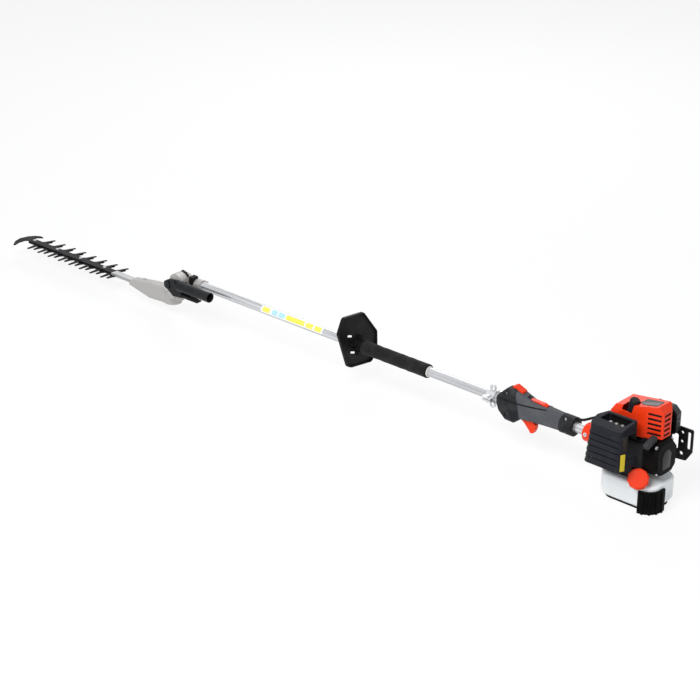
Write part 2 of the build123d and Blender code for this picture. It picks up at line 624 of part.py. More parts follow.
def tank_stand():
    """Black stand under the tank, with the ribbed guard that rises round its rear left corner."""
    plan = RectangleRounded(TANK_FRONT - TANK_REAR, 2 * TANK_HALF, TANK_CORNER)
    plan = Pos(STAND_X, 0) * plan
    corner = Pos(TANK_REAR + 6, TANK_HALF - 18) * Rectangle(60, 60)
    outer = offset(plan, WRAP_T) & corner
    foot = rounded_block(TANK_REAR + 8, TANK_FRONT - 8, -46, 46, GROUND, TANK_BOTTOM, 30)
    foot += along_z(outer, GROUND, TANK_BOTTOM)
    wrap = along_z(outer - offset(plan, GAP), GROUND, WRAP_TOP)
    middle = (TANK_REAR + TANK_CORNER, TANK_HALF - TANK_CORNER)
    for i in range(4):
        rib = Pos(TANK_CORNER + WRAP_T, 0, (GROUND + WRAP_TOP - 4) / 2) * Box(6, 5, WRAP_TOP - 4 - GROUND)
        wrap += Pos(*middle) * Rot(0, 0, 108 + 24 * i) * rib
    return foot + wrap


def crankshaft():
    """Crankshaft with its two webs and the crank pin."""
    shaft = rod_x(-217, -80, 10) - rod_x(-166, -154, 11)
    return shaft + rod_x(-174, -166, 25) + rod_x(-154, -146, 25) + rod_x(-167, -153, 6, 0, 14)


def flywheel():
    """Flywheel behind the clutch, with its ring of fan blades."""
    wheel = rod_x(-112, -104, 42) + rod_x(-104, -96, 16)
    for i in range(12):
        wheel += Rot(30 * i, 0, 0) * Pos(-99, 0, 32) * Rot(0, 0, 18) * Box(11, 2, 14)
    return wheel - rod_x(-113, -93, 10)


def clutch_shoes():
    """Centrifugal clutch: two shoes on their carrier, thrown out against the drum."""
    ring = Circle(31) - Circle(14)
    shoes = along_x(ring - Rectangle(70, 4), -80, -66)
    return shoes + rod_x(-86, -80, 24) - rod_x(-87, -79, 10)


def clutch_drum():
    """Clutch drum on the rear end of the drive shaft."""
    drum = rod_x(-82, -54, 36) - rod_x(-83, -58, 33.5)
    return drum + rod_x(-54, -45, 10) - rod_x(-84, -38, DRIVE_OD / 2)


def drive_shaft():
    return rod_x(-57, PIVOT_X - PIVOT_R - 9, DRIVE_OD / 2)


# ---------------------------------------------------------------- head, fixed to the shaft
SOCKET_R = 16.5
SOCKET_REAR = PIVOT_X - 77
PINION_R = PINION_TEETH * BEVEL_MODULE / 2
PIVOT_R = PIVOT_TEETH * BEVEL_MODULE / 2
OUTPUT_R = OUTPUT_TEETH * BEVEL_MODULE / 2
PIVOT_SHAFT_R = 4.0
SPIGOT_R = 13.0
SPIGOT_LENGTH = 3.0
INDEX_STEP = 15.0
INDEX_R = 29.0
INDEX_T = 7.0


def upper_gearcase():
    """Silver casting at the end of the shaft: the socket for the tube and the pivot hub."""
    hub = rod_y(HUB_RIGHT, HUB_LEFT, HUB_R, PIVOT_X) + rod_y(HUB_LEFT, HUB_LEFT + SPIGOT_LENGTH, SPIGOT_R, PIVOT_X)
    socket = rod_x(SOCKET_REAR, PIVOT_X - 14, SOCKET_R)
    ears = block(SOCKET_REAR + 2, SOCKET_REAR + 22, -SOCKET_R - 7, 0, -6, 6)
    case = hub + socket + ears
    case -= block(PIVOT_X - 41, PIVOT_X + 30, HUB_LEFT, 40, -40, 40) - rod_y(0, 20, SPIGOT_R, PIVOT_X)
    case -= rod_y(HUB_RIGHT + 3, HUB_LEFT - 1, HUB_R - 3.5, PIVOT_X)
    case -= rod_x(SOCKET_REAR - 1, PIVOT_X - 40, TUBE_OD / 2)
    case -= rod_x(PIVOT_X - 24, PIVOT_X, 7.6)
    case -= rod_x(PIVOT_X - 41, PIVOT_X, DRIVE_OD / 2 + RUN)
    case -= rod_y(-20, HUB_LEFT + 9, PIVOT_SHAFT_R + RUN, PIVOT_X)
    return case - block(SOCKET_REAR - 1, SOCKET_REAR + 26, -30, -10, -0.7, 0.7)


def index_plate():
    """Notched quadrant round the upper hub; its notches hold the head at every index step."""
    wedge = Polygon((0, 0), (-60, 8), (-60, 80), (12, 80), align=None)
    plate = (Circle(INDEX_R) - Circle(HUB_R)) & wedge
    for i in range(5):
        angle = radians(95 + INDEX_STEP * i)
        plate -= Pos(INDEX_R * cos(angle), INDEX_R * sin(angle)) * Rot(0, 0, degrees(angle)) * Rectangle(5, 3)
    return along_y(Pos(PIVOT_X, 0) * plate, HUB_LEFT - INDEX_T, HUB_LEFT - 0.1) - rod_x(SOCKET_REAR, PIVOT_X, SOCKET_R)


def neck_cover():
    """Black cover of the locking mechanism on top of the socket."""
    cover = rounded_block(PIVOT_X - 54, PIVOT_X - 34, -7, 18, 1, 23, 5)
    cover = chamfer(cover.faces().sort_by(Axis.Z)[-1].edges(), 3)
    return cover - rod_x(PIVOT_X - 90, PIVOT_X - 30, SOCKET_R)


def drive_pinion():
    """Bevel pinion on the front end of the drive shaft."""
    gear = Pos(PIVOT_X - PIVOT_R, 0, 0) * Rot(0, 90, 0) * Rot(0, 0, 90) * bevel_gear(PINION_TEETH, PIVOT_TEETH)
    return gear + rod_x(PIVOT_X - PIVOT_R - 9, PIVOT_X - PIVOT_R, 4.6)


def pivot_gear():
    """Double bevel gear on the pivot axis, driven by the pinion and driving the upright shaft."""
    first = bevel_gear(PIVOT_TEETH, PINION_TEETH, 180 / PIVOT_TEETH)
    second = bevel_gear(OUTPUT_TEETH, OUTPUT_TEETH, 90)
    second_y = OUTPUT_Y - OUTPUT_R
    gear = Pos(PIVOT_X, -PINION_R, 0) * Rot(-90, 0, 0) * first
    gear += Pos(PIVOT_X, second_y, 0) * Rot(-90, 0, 0) * second
    return gear + rod_y(HUB_RIGHT + 0.5, second_y, PIVOT_SHAFT_R, PIVOT_X) + rod_y(-PINION_R - 5, -PINION_R, 8, PIVOT_X)


# ---------------------------------------------------------------- head, turning about the pivot
UP_T = BLADE_DROP - BLADE_GAP / 2 - BLADE_T     # top of the upper blade, below the axis
LOW_B = BLADE_DROP + BLADE_GAP / 2 + BLADE_T    # bottom of the lower blade
SPUR_TOP, SPUR_BOTTOM = -44.5, -50.0
STOREY_TOP, STOREY_BOTTOM = -41.0, -56.0        # upper storey of the case, round the spur gears
BOX_BOTTOM = -86.0
BOX_R = 25.5
COLUMN_R = 12.0
WALL = 2.6
ROD_T = 3.0
PIN_R = 2.5
HEAD_Y0 = HUB_LEFT + GAP
HEAD_Y1 = OUTPUT_Y + 13.5
SPUR_R = SPUR_TEETH * SPUR_MODULE / 2
IDLER_R = IDLER_TEETH * SPUR_MODULE / 2
CRANK_R = CRANK_TEETH * SPUR_MODULE / 2


def idler_centre():
    """Place of the idler gear, where it meshes with the spur pinion and with the crank gear."""
    dx, dy = CRANK_X - PIVOT_X, -OUTPUT_Y
    span = sqrt(dx * dx + dy * dy)
    first, second = SPUR_R + IDLER_R, IDLER_R + CRANK_R
    along = (first ** 2 - second ** 2 + span ** 2) / (2 * span)
    side = sqrt(first ** 2 - along ** 2)
    return PIVOT_X + (along * dx - side * dy) / span, OUTPUT_Y + (along * dy + side * dx) / span


IDLER_X, IDLER_Y = idler_centre()
STEM_R = 4.0


def storey_plan(grow):
    """Plan outline round the three spur gears, grown by the given amount."""
    plan = Pos(PIVOT_X, OUTPUT_Y) * Circle(SPUR_R + grow)
    plan += Pos(IDLER_X, IDLER_Y) * Circle(IDLER_R + grow)
    return plan + Pos(CRANK_X, 0) * Circle(CRANK_R + grow)


def flange_profile():
    """Section of the head at its flange, seen along the blades: narrow on top, wide at the bottom."""
    return outline([(-26, BOX_BOTTOM), (26, BOX_BOTTOM), (26, BOX_BOTTOM + 12), (16, STOREY_TOP - 1),
                    (-16, STOREY_TOP - 1), (-26, BOX_BOTTOM + 12)], 4)


FLANGE_SCREWS = [(19, -80), (-19, -80), (15, -52), (-15, -52)]


def head_gearcase():
    """Silver rear casting of the head: pivot hub, upright column, spur storey and crank box."""
    clear = 0.7 * SPUR_MODULE + GAP
    case = rod_y(HEAD_Y0, HEAD_Y1, HEAD_HUB_R, PIVOT_X)
    case += rod_z(STOREY_BOTTOM, 0, COLUMN_R, PIVOT_X, OUTPUT_Y)
    case += along_z(storey_plan(clear + WALL), STOREY_BOTTOM, STOREY_TOP)
    case += rod_z(BOX_BOTTOM, STOREY_TOP, BOX_R, CRANK_X)
    case += along_x(flange_profile(), CRANK_X, FLANGE_X)
    case -= rod_y(HEAD_Y0 - 1, HUB_LEFT + SPIGOT_LENGTH + GAP, SPIGOT_R + RUN, PIVOT_X)
    case -= rod_y(HEAD_Y0 - 1, OUTPUT_Y + 9, 9.2, PIVOT_X)
    case -= rod_z(-18, 0, 9.2, PIVOT_X, OUTPUT_Y)
    case -= rod_z(STOREY_BOTTOM + 2, 0, STEM_R + RUN, PIVOT_X, OUTPUT_Y)
    case -= along_z(storey_plan(clear), SPUR_BOTTOM - GAP, SPUR_TOP + GAP)
    case -= rod_z(STOREY_BOTTOM + 2, STOREY_TOP - 1, STEM_R + RUN, IDLER_X, IDLER_Y)
    case -= rod_z(BOX_BOTTOM + 3.5, SPUR_BOTTOM, CRANK_R + 0.6, CRANK_X)
    case -= rod_z(BOX_BOTTOM + 1, STOREY_TOP - 1, STEM_R + RUN, CRANK_X)
    case -= block(CRANK_X, FLANGE_X + 1, -14.5, 14.5, MOUTH_BOTTOM, MOUTH_TOP)
    for y, z in FLANGE_SCREWS:
        case -= rod_x(FLANGE_X - 12, FLANGE_X - 5, 4.2, y, z) + rod_x(FLANGE_X - 6, FLANGE_X + 1, 2, y, z)
    return case


MOUTH_TOP = -UP_T + ROD_T + 1.0
MOUTH_BOTTOM = -LOW_B - ROD_T - 1.0
NOSE_TOP = -UP_T + GUIDE_T + 3.0
NOSE_BOTTOM = -LOW_B - 2.5


def head_nose():
    """Silver front casting of the head, from the flange to the mouth where the blades come out."""
    rear = Plane.YZ.offset(FLANGE_X) * flange_profile()
    middle = Plane.YZ.offset(FLANGE_X + 52) * outline([(-26, -89), (26, -89), (26, -78), (15, -46), (-15, -46),
                                                       (-26, -78)], 4)
    front = Plane.YZ.offset(NOSE_X) * outline([(-20, NOSE_BOTTOM), (20, NOSE_BOTTOM), (20, NOSE_BOTTOM + 6),
                                               (14, NOSE_TOP), (-14, NOSE_TOP), (-20, NOSE_BOTTOM + 6)], 1.5)
    nose = loft([rear, middle, front], ruled=True)
    nose -= block(FLANGE_X - 1, NOSE_X + 1, -14.5, 14.5, -LOW_B - 0.6, -UP_T + GUIDE_T)
    nose -= block(FLANGE_X - 1, FLANGE_X + 40, -14.5, 14.5, MOUTH_BOTTOM, MOUTH_TOP)
    nose += rod_z(-56, -46, 4.5, FLANGE_X + 60, 8) + rod_z(-60, -51, 4.5, FLANGE_X + 104, -7)
    for y, z in FLANGE_SCREWS:
        nose -= rod_x(FLANGE_X - 1, FLANGE_X + 8, 2, y, z)
    return nose


def head_screws():
    """Flange screws that hold the two castings of the head together."""
    screws = Part()
    for y, z in FLANGE_SCREWS:
        screws += along_x(Pos(y, z) * RegularPolygon(3.9, 6), FLANGE_X - 8.5, FLANGE_X - 5)
        screws += rod_x(FLANGE_X - 5, FLANGE_X + 7, 2, y, z)
    return screws


ARM_Y0, ARM_Y1 = HEAD_Y1, HEAD_Y1 + 9
HANDLE_Y, HANDLE_Z, HANDLE_R = 50.0, 2.0, 14.5
HANDLE_REAR = PIVOT_X - 158
LEVER_PIVOT = (PIVOT_X - 46, -20.0)


def tilt_arm():
    """Black arm on the head's hub, with the hollow handle tube that swings the head."""
    arm = along_y(outline([(PIVOT_X + 26, 5), (PIVOT_X + 41, -4), (PIVOT_X + 41, -20), (PIVOT_X + 26, -27),
                           (PIVOT_X + 4, -41), (PIVOT_X - 33, -37), (PIVOT_X - 60, -27), (PIVOT_X - 64, -14),
                           (PIVOT_X - 46, 14)], 3), ARM_Y0, ARM_Y1)
    boss = rod_y(ARM_Y1, ARM_Y1 + 4, 11, PIVOT_X + 26, -11) + rod_y(ARM_Y1, ARM_Y1 + 3, 12, PIVOT_X, -4)
    tube = rod_x(HANDLE_REAR, PIVOT_X - 30, HANDLE_R, HANDLE_Y, HANDLE_Z)
    pin = rod_y(ARM_Y1, HANDLE_Y + 10, 3, *LEVER_PIVOT)
    hollow = rod_x(HANDLE_REAR - 1, PIVOT_X - 52, HANDLE_R - 2.5, HANDLE_Y, HANDLE_Z)
    return arm + boss + tube + pin - hollow


def squeeze_lever():
    """Release lever under the handle tube, squeezed to lift the latch before tilting the head."""
    x, z = LEVER_PIVOT
    side = outline([(x + 6, z + 4), (x + 6, z - 5), (x - 30, z - 6.5), (x - 66, z - 6), (x - 72, z),
                    (x - 8, z + 3)], 1.2)
    lever = along_y(side, ARM_Y1 + GAP, HANDLE_Y + 8)
    return lever - rod_y(ARM_Y1, HANDLE_Y + 9, 3 + RUN, x, z)


def guide_bar():
    """Guide bar above the blades, held in the nose."""
    z0 = -UP_T
    start, end = NOSE_X - 62, BLADE_END_X + 20
    bar = along_z(Pos((start + end) / 2, 0) * SlotOverall(end - start, 2 * GUIDE_HALF), z0, z0 + GUIDE_T)
    return bar - bolt_holes(z0 - 1, z0 + GUIDE_T + 1, BOLT_D / 2)


def bolt_positions():
    return [FIRST_BOLT_X + i * BOLT_PITCH for i in range(BLADE_BOLTS)]


def bolt_holes(z0, z1, radius):
    return [rod_z(z0, z1, radius, x) for x in bolt_positions()]


def blade(side, right_shift, left_shift, tip):
    """Double-sided blade: side = 1 is the upper one; the shifts place its right and left teeth along the bar."""
    z0 = -UP_T - BLADE_T if side > 0 else -LOW_B
    tail = FLANGE_X + 2
    first = FIRST_TIP_X
    face = Pos((tail + BLADE_END_X) / 2, 0) * Rectangle(BLADE_END_X - tail, 2 * BAR_HALF)
    for i in range(TOOTH_COUNT):
        for hand, shift in ((-1, right_shift), (1, left_shift)):
            x = first + shift + i * TOOTH_PITCH
            root = x + (TOOTH_LEAN if hand < 0 else 0)
            waist = x + 0.65 * (root - x)
            face += outline([(root - 12, hand * (BAR_HALF - 1)), (waist - 6, hand * (BAR_HALF + 8)),
                             (x - 3, hand * tip), (x + 3, hand * tip), (waist + 6, hand * (BAR_HALF + 8)),
                             (root + 12, hand * (BAR_HALF - 1))])
    plate = along_z(face, z0, z0 + BLADE_T)
    slot = 2 * STROKE_R + BOLT_D + 2 * GAP
    for x in bolt_positions():
        plate -= along_z(Pos(x, 0) * SlotOverall(slot, BOLT_D + 2 * GAP), z0 - 1, z0 + BLADE_T + 1)
    return plate


def connecting_rod(side):
    """Connecting rod: an open ring round the crank pin's path and a bar riveted to the blade's tail."""
    z0 = -UP_T if side > 0 else -LOW_B - ROD_T
    inner = 2 * STROKE_R + PIN_R + GAP
    outer = inner + 2.4
    ring = Pos(CRANK_X, 0) * (Circle(outer) - Circle(inner))
    bar = outline([(CRANK_X + inner + 1, -6), (FLANGE_X + 20, -6), (FLANGE_X + 20, 6), (CRANK_X + inner + 1, 6)])
    return along_z(ring + bar, z0, z0 + ROD_T)


def upright_shaft():
    """Upright shaft in the head's column: bevel gear at the top, spur pinion at the bottom."""
    drop = 2 * 0.5 * BEVEL_MODULE + GAP
    top = -OUTPUT_R - drop
    gear = Pos(PIVOT_X, OUTPUT_Y, top) * bevel_gear(OUTPUT_TEETH, OUTPUT_TEETH, 180 / OUTPUT_TEETH)
    stem = rod_z(top - 4, top, 6, PIVOT_X, OUTPUT_Y) + rod_z(STOREY_BOTTOM + 3, top, STEM_R, PIVOT_X, OUTPUT_Y)
    toward = degrees(atan2(IDLER_Y - OUTPUT_Y, IDLER_X - PIVOT_X))
    spur = Pos(PIVOT_X, OUTPUT_Y) * gear_outline(SPUR_TEETH, SPUR_MODULE, toward)
    return gear + stem + along_z(spur, SPUR_BOTTOM, SPUR_TOP)


def idler_gear():
    """Idler between the spur pinion and the crank gear, on its own short spindle."""
    back = degrees(atan2(OUTPUT_Y - IDLER_Y, PIVOT_X - IDLER_X))
    face = Pos(IDLER_X, IDLER_Y) * gear_outline(IDLER_TEETH, SPUR_MODULE, back + 180 / IDLER_TEETH)
    spindle = rod_z(STOREY_BOTTOM + 3, STOREY_TOP - 2, STEM_R, IDLER_X, IDLER_Y)
    return along_z(face, SPUR_BOTTOM, SPUR_TOP) + spindle


def crank_gear():
    """Crank gear with its two-throw crank: one pin for each blade, half a turn apart."""
    mesh = degrees(atan2(IDLER_Y, IDLER_X - CRANK_X))
    back = degrees(atan2(OUTPUT_Y - IDLER_Y, PIVOT_X - IDLER_X)) + 180 / IDLER_TEETH
    tooth = 360 / IDLER_TEETH
    offset_angle = (mesh + 180 - back) % tooth / tooth
    phase = mesh + (0.5 + offset_angle) * 360 / CRANK_TEETH
    face = Pos(CRANK_X, 0) * gear_outline(CRANK_TEETH, SPUR_MODULE, phase)
    gear = along_z(face, SPUR_BOTTOM, SPUR_TOP) + rod_z(SPUR_TOP, STOREY_TOP - 2, STEM_R, CRANK_X)
    upper_web = -UP_T + ROD_T + 1.0
    lower_web = -LOW_B - ROD_T - 1.0
    middle = -BLADE_DROP
    web_r = STROKE_R + PIN_R + 1.0
    gear += rod_z(upper_web, SPUR_BOTTOM, STEM_R, CRANK_X) + rod_z(upper_web, upper_web + 3, web_r, CRANK_X)
    gear += rod_z(middle - 1.2, middle + 1.2, web_r, CRANK_X)
    gear += rod_z(lower_web - 3, lower_web, web_r, CRANK_X)
    gear += rod_z(BOX_BOTTOM + 1.5, lower_web, STEM_R, CRANK_X)
    gear += rod_z(middle, upper_web, PIN_R, CRANK_X, STROKE_R)
    return gear + rod_z(lower_web, middle, PIN_R, CRANK_X, -STROKE_R)


def blade_bolts():
    """Shoulder bolts that hold the blades against the guide bar, with nuts below."""
    bolts = Part()
    for x in bolt_positions():
        bolts += rod_z(-LOW_B - 4, -UP_T + GUIDE_T, BOLT_D / 2, x)
        bolts += along_z(Pos(x, 0) * RegularPolygon(5.4, 6), -UP_T + GUIDE_T, -UP_T + GUIDE_T + 3.4)
        bolts += along_z(Pos(x, 0) * RegularPolygon(5.6, 6), -LOW_B - 4, -LOW_B - 0.3)
    return bolts


def tip_guard():
    """Black crescent that shields the end of the blades, seated under the end of the guide bar."""
    x = BLADE_END_X
    face = outline([(x - 10, -41), (x + 8, -43), (x + 24, -34), (x + 37, -16), (x + 43, 12), (x + 36, 36),
                    (x + 16, 60), (x + 12, 56), (x + 19, 34), (x + 18, 12), (x + 8, 8 - STROKE_R),
                    (x + 8, -27), (x - 2, -36)], 1.8)
    return along_z(face, -UP_T - 3, -UP_T)


PARTS = {
    "main_tube": main_tube, "shaft_bushes": shaft_bushes, "drive_shaft": drive_shaft,
    "harness_clamp": harness_clamp, "harness_clamp_lower": harness_clamp_lower, "clamp_bolts": clamp_bolts,
    "foam_grip": foam_grip, "hand_guard": hand_guard,
    "grip_housing_left": lambda: grip_shell(1), "grip_housing_right": lambda: grip_shell(-1),
    "grip_screws": grip_screws, "trigger_pins": trigger_pins, "control_conduit": control_conduit,
    "throttle_trigger": throttle_trigger, "throttle_lockout": throttle_lockout, "stop_switch": stop_switch,
    "clutch_case": clutch_case, "crankcase": crankcase, "cylinder": cylinder, "spark_plug": spark_plug,
    "plug_cap": plug_cap, "engine_cowl": engine_cowl, "starter_housing": starter_housing,
    "starter_handle": starter_handle, "starter_pulley": starter_pulley, "muffler": muffler,
    "muffler_guard": muffler_guard, "carburettor": carburettor, "air_cleaner_body": air_cleaner_body,
    "air_cleaner_cover": air_cleaner_cover, "choke_lever": choke_lever, "purge_bulb": purge_bulb,
    "side_guard": side_guard, "fuel_tank": fuel_tank, "fuel_cap": fuel_cap, "tank_stand": tank_stand,
    "crankshaft": crankshaft, "flywheel": flywheel, "clutch_shoes": clutch_shoes, "clutch_drum": clutch_drum,
    "upper_gearcase": upper_gearcase, "index_plate": index_plate, "neck_cover": neck_cover,
    "drive_pinion": drive_pinion, "pivot_gear": pivot_gear,
    "head_gearcase": head_gearcase, "head_nose": head_nose, "head_screws": head_screws,
    "tilt_arm": tilt_arm, "squeeze_lever": squeeze_lever, "guide_bar": guide_bar,
    "upper_blade": lambda: blade(1, 0.0, TOOTH_STAGGER, TOOTH_TIP),
    "lower_blade": lambda: blade(-1, 0.0, TOOTH_STAGGER - 3 * STROKE_R, TOOTH_TIP - 12),
    "upper_rod": lambda: connecting_rod(1), "lower_rod": lambda: connecting_rod(-1),
    "upright_shaft": upright_shaft, "idler_gear": idler_gear, "crank_gear": crank_gear,
    "blade_bolts": blade_bolts, "tip_guard": tip_guard,
}

for name, make in PARTS.items():
    export_step(ORIGIN * make(), f"parts/{name}.step")
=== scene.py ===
"""Looks of a petrol long-reach hedge trimmer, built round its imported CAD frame.

Each sub-assembly dresses its CAD nodes and adds the pieces that the solids leave to the scene.
Sizes are in millimetres in the shaft frame (X along the shaft, Y to the left, Z up, origin at the
mouth of the clutch case) and become metres in the row frame.
"""

from __future__ import annotations

import sys
import functools
import logging
import math
from dataclasses import dataclass
from enum import Enum
from typing import Callable, Sequence

import bmesh
import bpy
from mathutils import Matrix, Vector
from mathutils.bvhtree import BVHTree


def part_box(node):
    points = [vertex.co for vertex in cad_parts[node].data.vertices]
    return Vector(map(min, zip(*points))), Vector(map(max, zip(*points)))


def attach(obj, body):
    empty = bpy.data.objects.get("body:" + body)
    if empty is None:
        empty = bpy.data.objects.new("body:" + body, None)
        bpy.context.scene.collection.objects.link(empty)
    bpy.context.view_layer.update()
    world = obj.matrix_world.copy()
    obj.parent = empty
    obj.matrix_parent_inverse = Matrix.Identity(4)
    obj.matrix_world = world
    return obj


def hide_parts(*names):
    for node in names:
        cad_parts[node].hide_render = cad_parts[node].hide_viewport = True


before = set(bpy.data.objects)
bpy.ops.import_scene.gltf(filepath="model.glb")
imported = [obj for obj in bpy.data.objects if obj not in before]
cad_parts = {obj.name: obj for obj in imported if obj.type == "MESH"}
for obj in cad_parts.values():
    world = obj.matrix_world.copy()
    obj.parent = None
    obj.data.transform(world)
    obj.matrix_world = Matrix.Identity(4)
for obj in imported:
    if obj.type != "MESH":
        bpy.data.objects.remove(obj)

logging.basicConfig(level=logging.INFO, format="%(message)s", stream=sys.stdout)
LOG = logging.getLogger("trimmer")

Point = Sequence[float]
Pairs = Sequence[tuple[float, float]]
Colour = tuple[float, float, float]
Material, Mesh, Object = bpy.types.Material, bpy.types.Mesh, bpy.types.Object
Node, Socket, Tree = bpy.types.Node, bpy.types.NodeSocket, bpy.types.NodeTree

PER_METRE = 1000.0
MAIN_BODY = "engine_and_shaft"
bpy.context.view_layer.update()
TUBE_REAR = -34.0
TUBE_LOW, TUBE_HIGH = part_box("main_tube")
SHAFT_ZERO = Vector((TUBE_LOW.x - TUBE_REAR / PER_METRE, 0.0, (TUBE_LOW.z + TUBE_HIGH.z) / 2))


def place(point: Point) -> Vector:
    """A point of the shaft frame in millimetres as a row-frame vector in metres."""
    return SHAFT_ZERO + Vector(point) / PER_METRE


def station(x: float) -> float:
    """A station along the shaft in millimetres as a row-frame X in metres."""
    return SHAFT_ZERO.x + x / PER_METRE


# ---------- named options
class Slot(str, Enum):
    """Material slots of the record; no piece in this script takes its finish from them."""

    PLASTIC = "black_plastic"
    CLEAR = "clear_nylon"
    FOAM = "foam"
    SHAFT = "painted_shaft"
    ZINC = "zinc"


class Lay(str, Enum):
    """How the fine lines of a worked metal run."""

    ALONG = "along the shaft"
    CAST = "cast skin"
    TURNED = "turned"


# ---------- node trees
FLOAT, RGBA, VECTOR = "NodeSocketFloat", "NodeSocketColor", "NodeSocketVector"
GEOMETRY, SHADER = "NodeSocketGeometry", "ShaderNodeTree"


class NodeSheet:
    """Short hand for wiring a node tree."""

    def __init__(self, tree: Tree) -> None:
        """Keeps the tree that nodes are added to."""
        self.tree = tree

    def feed(self, socket: Socket, value: object) -> None:
        """Links an input to a socket, or sets it to a value.

        Args:
            socket: the input.
            value: socket, number, colour or text; None leaves the input alone.
        """
        if isinstance(value, Socket):
            self.tree.links.new(value, socket)
        elif value is not None:
            socket.default_value = (*value, 1.0) if socket.type == "RGBA" else value

    def add(self, kind: str, feeds: dict | None = None, **settings: object) -> Node:
        """Adds a node.

        Args:
            kind: Blender's node type name.
            feeds: a socket or value for each input, by its name or place.
            settings: node properties, set before the inputs are fed.

        Returns:
            The new node.
        """
        node = self.tree.nodes.new(kind)
        for key, value in settings.items():
            setattr(node, key, value)
        for key, value in (feeds or {}).items():
            self.feed(node.inputs[key], value)
        return node

    def take(self, kind: str, feeds: dict | None = None, **settings: object) -> Socket:
        """Adds a node, as add does, and gives its first output."""
        return self.add(kind, feeds, **settings).outputs[0]

    def ports(self, direction: str, kinds: dict[str, str]) -> None:
        """Adds named sockets of those kinds to the tree's interface."""
        for label, kind in kinds.items():
            self.tree.interface.new_socket(label, in_out=direction, socket_type=kind)

    def ended(self, *results: Socket) -> Tree:
        """Ends a group with its results in order, and gives its tree."""
        self.add("NodeGroupOutput", dict(enumerate(results)))
        return self.tree

    def maths(self, operation: str, *values: object, clamp: bool = False) -> Socket:
        """Adds a Math node fed by sockets or numbers, and gives its result."""
        return self.take("ShaderNodeMath", dict(enumerate(values)), operation=operation, use_clamp=clamp)

    def between(self, value: Socket, low: float, high: float) -> Socket:
        """1 where a value lies between two limits, and 0 elsewhere."""
        over, under = self.maths("GREATER_THAN", value, low), self.maths("LESS_THAN", value, high)
        return self.maths("MULTIPLY", over, under)

    def near(self, value: Socket, reach: float) -> Socket:
        """1 where a value lies closer to 0 than the reach, and 0 elsewhere."""
        return self.maths("LESS_THAN", self.maths("ABSOLUTE", value), reach)

    def mix(self, factor: object, first: object, second: object) -> Socket:
        """Mixes two colours, each a socket or a colour, from the first at factor 0 to the second at 1."""
        feeds = {0: factor, 6: first, 7: second}
        return self.add("ShaderNodeMix", feeds, data_type="RGBA").outputs[2]

    def noise(self, vector: Socket, scale: object, detail: float = 2.0) -> Socket:
        """Adds a noise texture and gives its value."""
        return self.take("ShaderNodeTexNoise", {"Vector": vector, "Scale": scale, "Detail": detail})

    def looked_at(self, plain: Socket, bright: Socket, share: float) -> Socket:
        """Mixes two shaders by what looks at them.

        Args:
            plain: shader that lights the scene.
            bright: shader that the camera and glosses see.
            share: how much of the bright one they see.

        Returns:
            The mixed shader.
        """
        path = self.add("ShaderNodeLightPath").outputs
        look = self.maths("MAXIMUM", path["Is Camera Ray"], path["Is Glossy Ray"])
        return self.take("ShaderNodeMixShader", {0: self.maths("MULTIPLY", look, share), 1: plain, 2: bright})


def emptied(owner: Material | bpy.types.World) -> NodeSheet:
    """Clears the nodes of a material or world.

    Args:
        owner: the material or world.

    Returns:
        The sheet to wire it on.
    """
    owner.use_nodes = True
    owner.node_tree.nodes.clear()
    return NodeSheet(owner.node_tree)


def group_sheet(kind: str, name: str, inputs: dict[str, str],
                outputs: dict[str, str]) -> tuple[NodeSheet, object]:
    """Starts a node group.

    Args:
        kind: Blender's name for its kind of tree.
        name: the group's name.
        inputs: name and kind of each input.
        outputs: name and kind of each output.

    Returns:
        The sheet to wire it on, and its inputs.
    """
    sheet = NodeSheet(bpy.data.node_groups.new(name, kind))
    sheet.ports("INPUT", inputs)
    sheet.ports("OUTPUT", outputs)
    return sheet, sheet.add("NodeGroupInput").outputs


def grain_group() -> Tree:
    """Moulded or cast skin: fine pits and a slow swell.

    Returns:
        A group that gives the skin's height and a slow mask for uneven gloss.
    """
    swell_share, pit_detail = 0.4, 3.0
    sheet, given = group_sheet(SHADER, "skin_grain", {"Vector": VECTOR, "Scale": FLOAT, "Swell": FLOAT},
                               {"Height": FLOAT, "Patches": FLOAT})
    slow = sheet.noise(given["Vector"], given["Swell"])
    pits = sheet.noise(given["Vector"], given["Scale"], pit_detail)
    return sheet.ended(sheet.maths("MULTIPLY_ADD", slow, swell_share, pits), slow)


def wear_group() -> Tree:
    """Edge wear: edges rounded by the light, and rubbed a little paler.

    Returns:
        A group that gives the worn colour and the rounded normal.
    """
    edge_gain, patch_scale, patch_gain = 7.0, 160.0, 1.5
    sheet, given = group_sheet(SHADER, "edge_wear", {"Vector": VECTOR, "Colour": RGBA, "Worn Colour": RGBA,
                                                     "Amount": FLOAT, "Radius": FLOAT},
                               {"Colour": RGBA, "Normal": VECTOR})
    rounded = sheet.take("ShaderNodeBevel", {"Radius": given["Radius"]}, samples=4)
    flat = sheet.add("ShaderNodeNewGeometry").outputs["Normal"]
    facing = sheet.add("ShaderNodeVectorMath", {0: rounded, 1: flat}, operation="DOT_PRODUCT").outputs["Value"]
    edge = sheet.maths("MULTIPLY", sheet.maths("SUBTRACT", 1.0, facing), edge_gain, clamp=True)
    patchy = sheet.maths("MULTIPLY", sheet.noise(given["Vector"], patch_scale), patch_gain, clamp=True)
    mask = sheet.maths("MULTIPLY", sheet.maths("MULTIPLY", edge, patchy), given["Amount"], clamp=True)
    return sheet.ended(sheet.mix(mask, given["Colour"], given["Worn Colour"]), rounded)


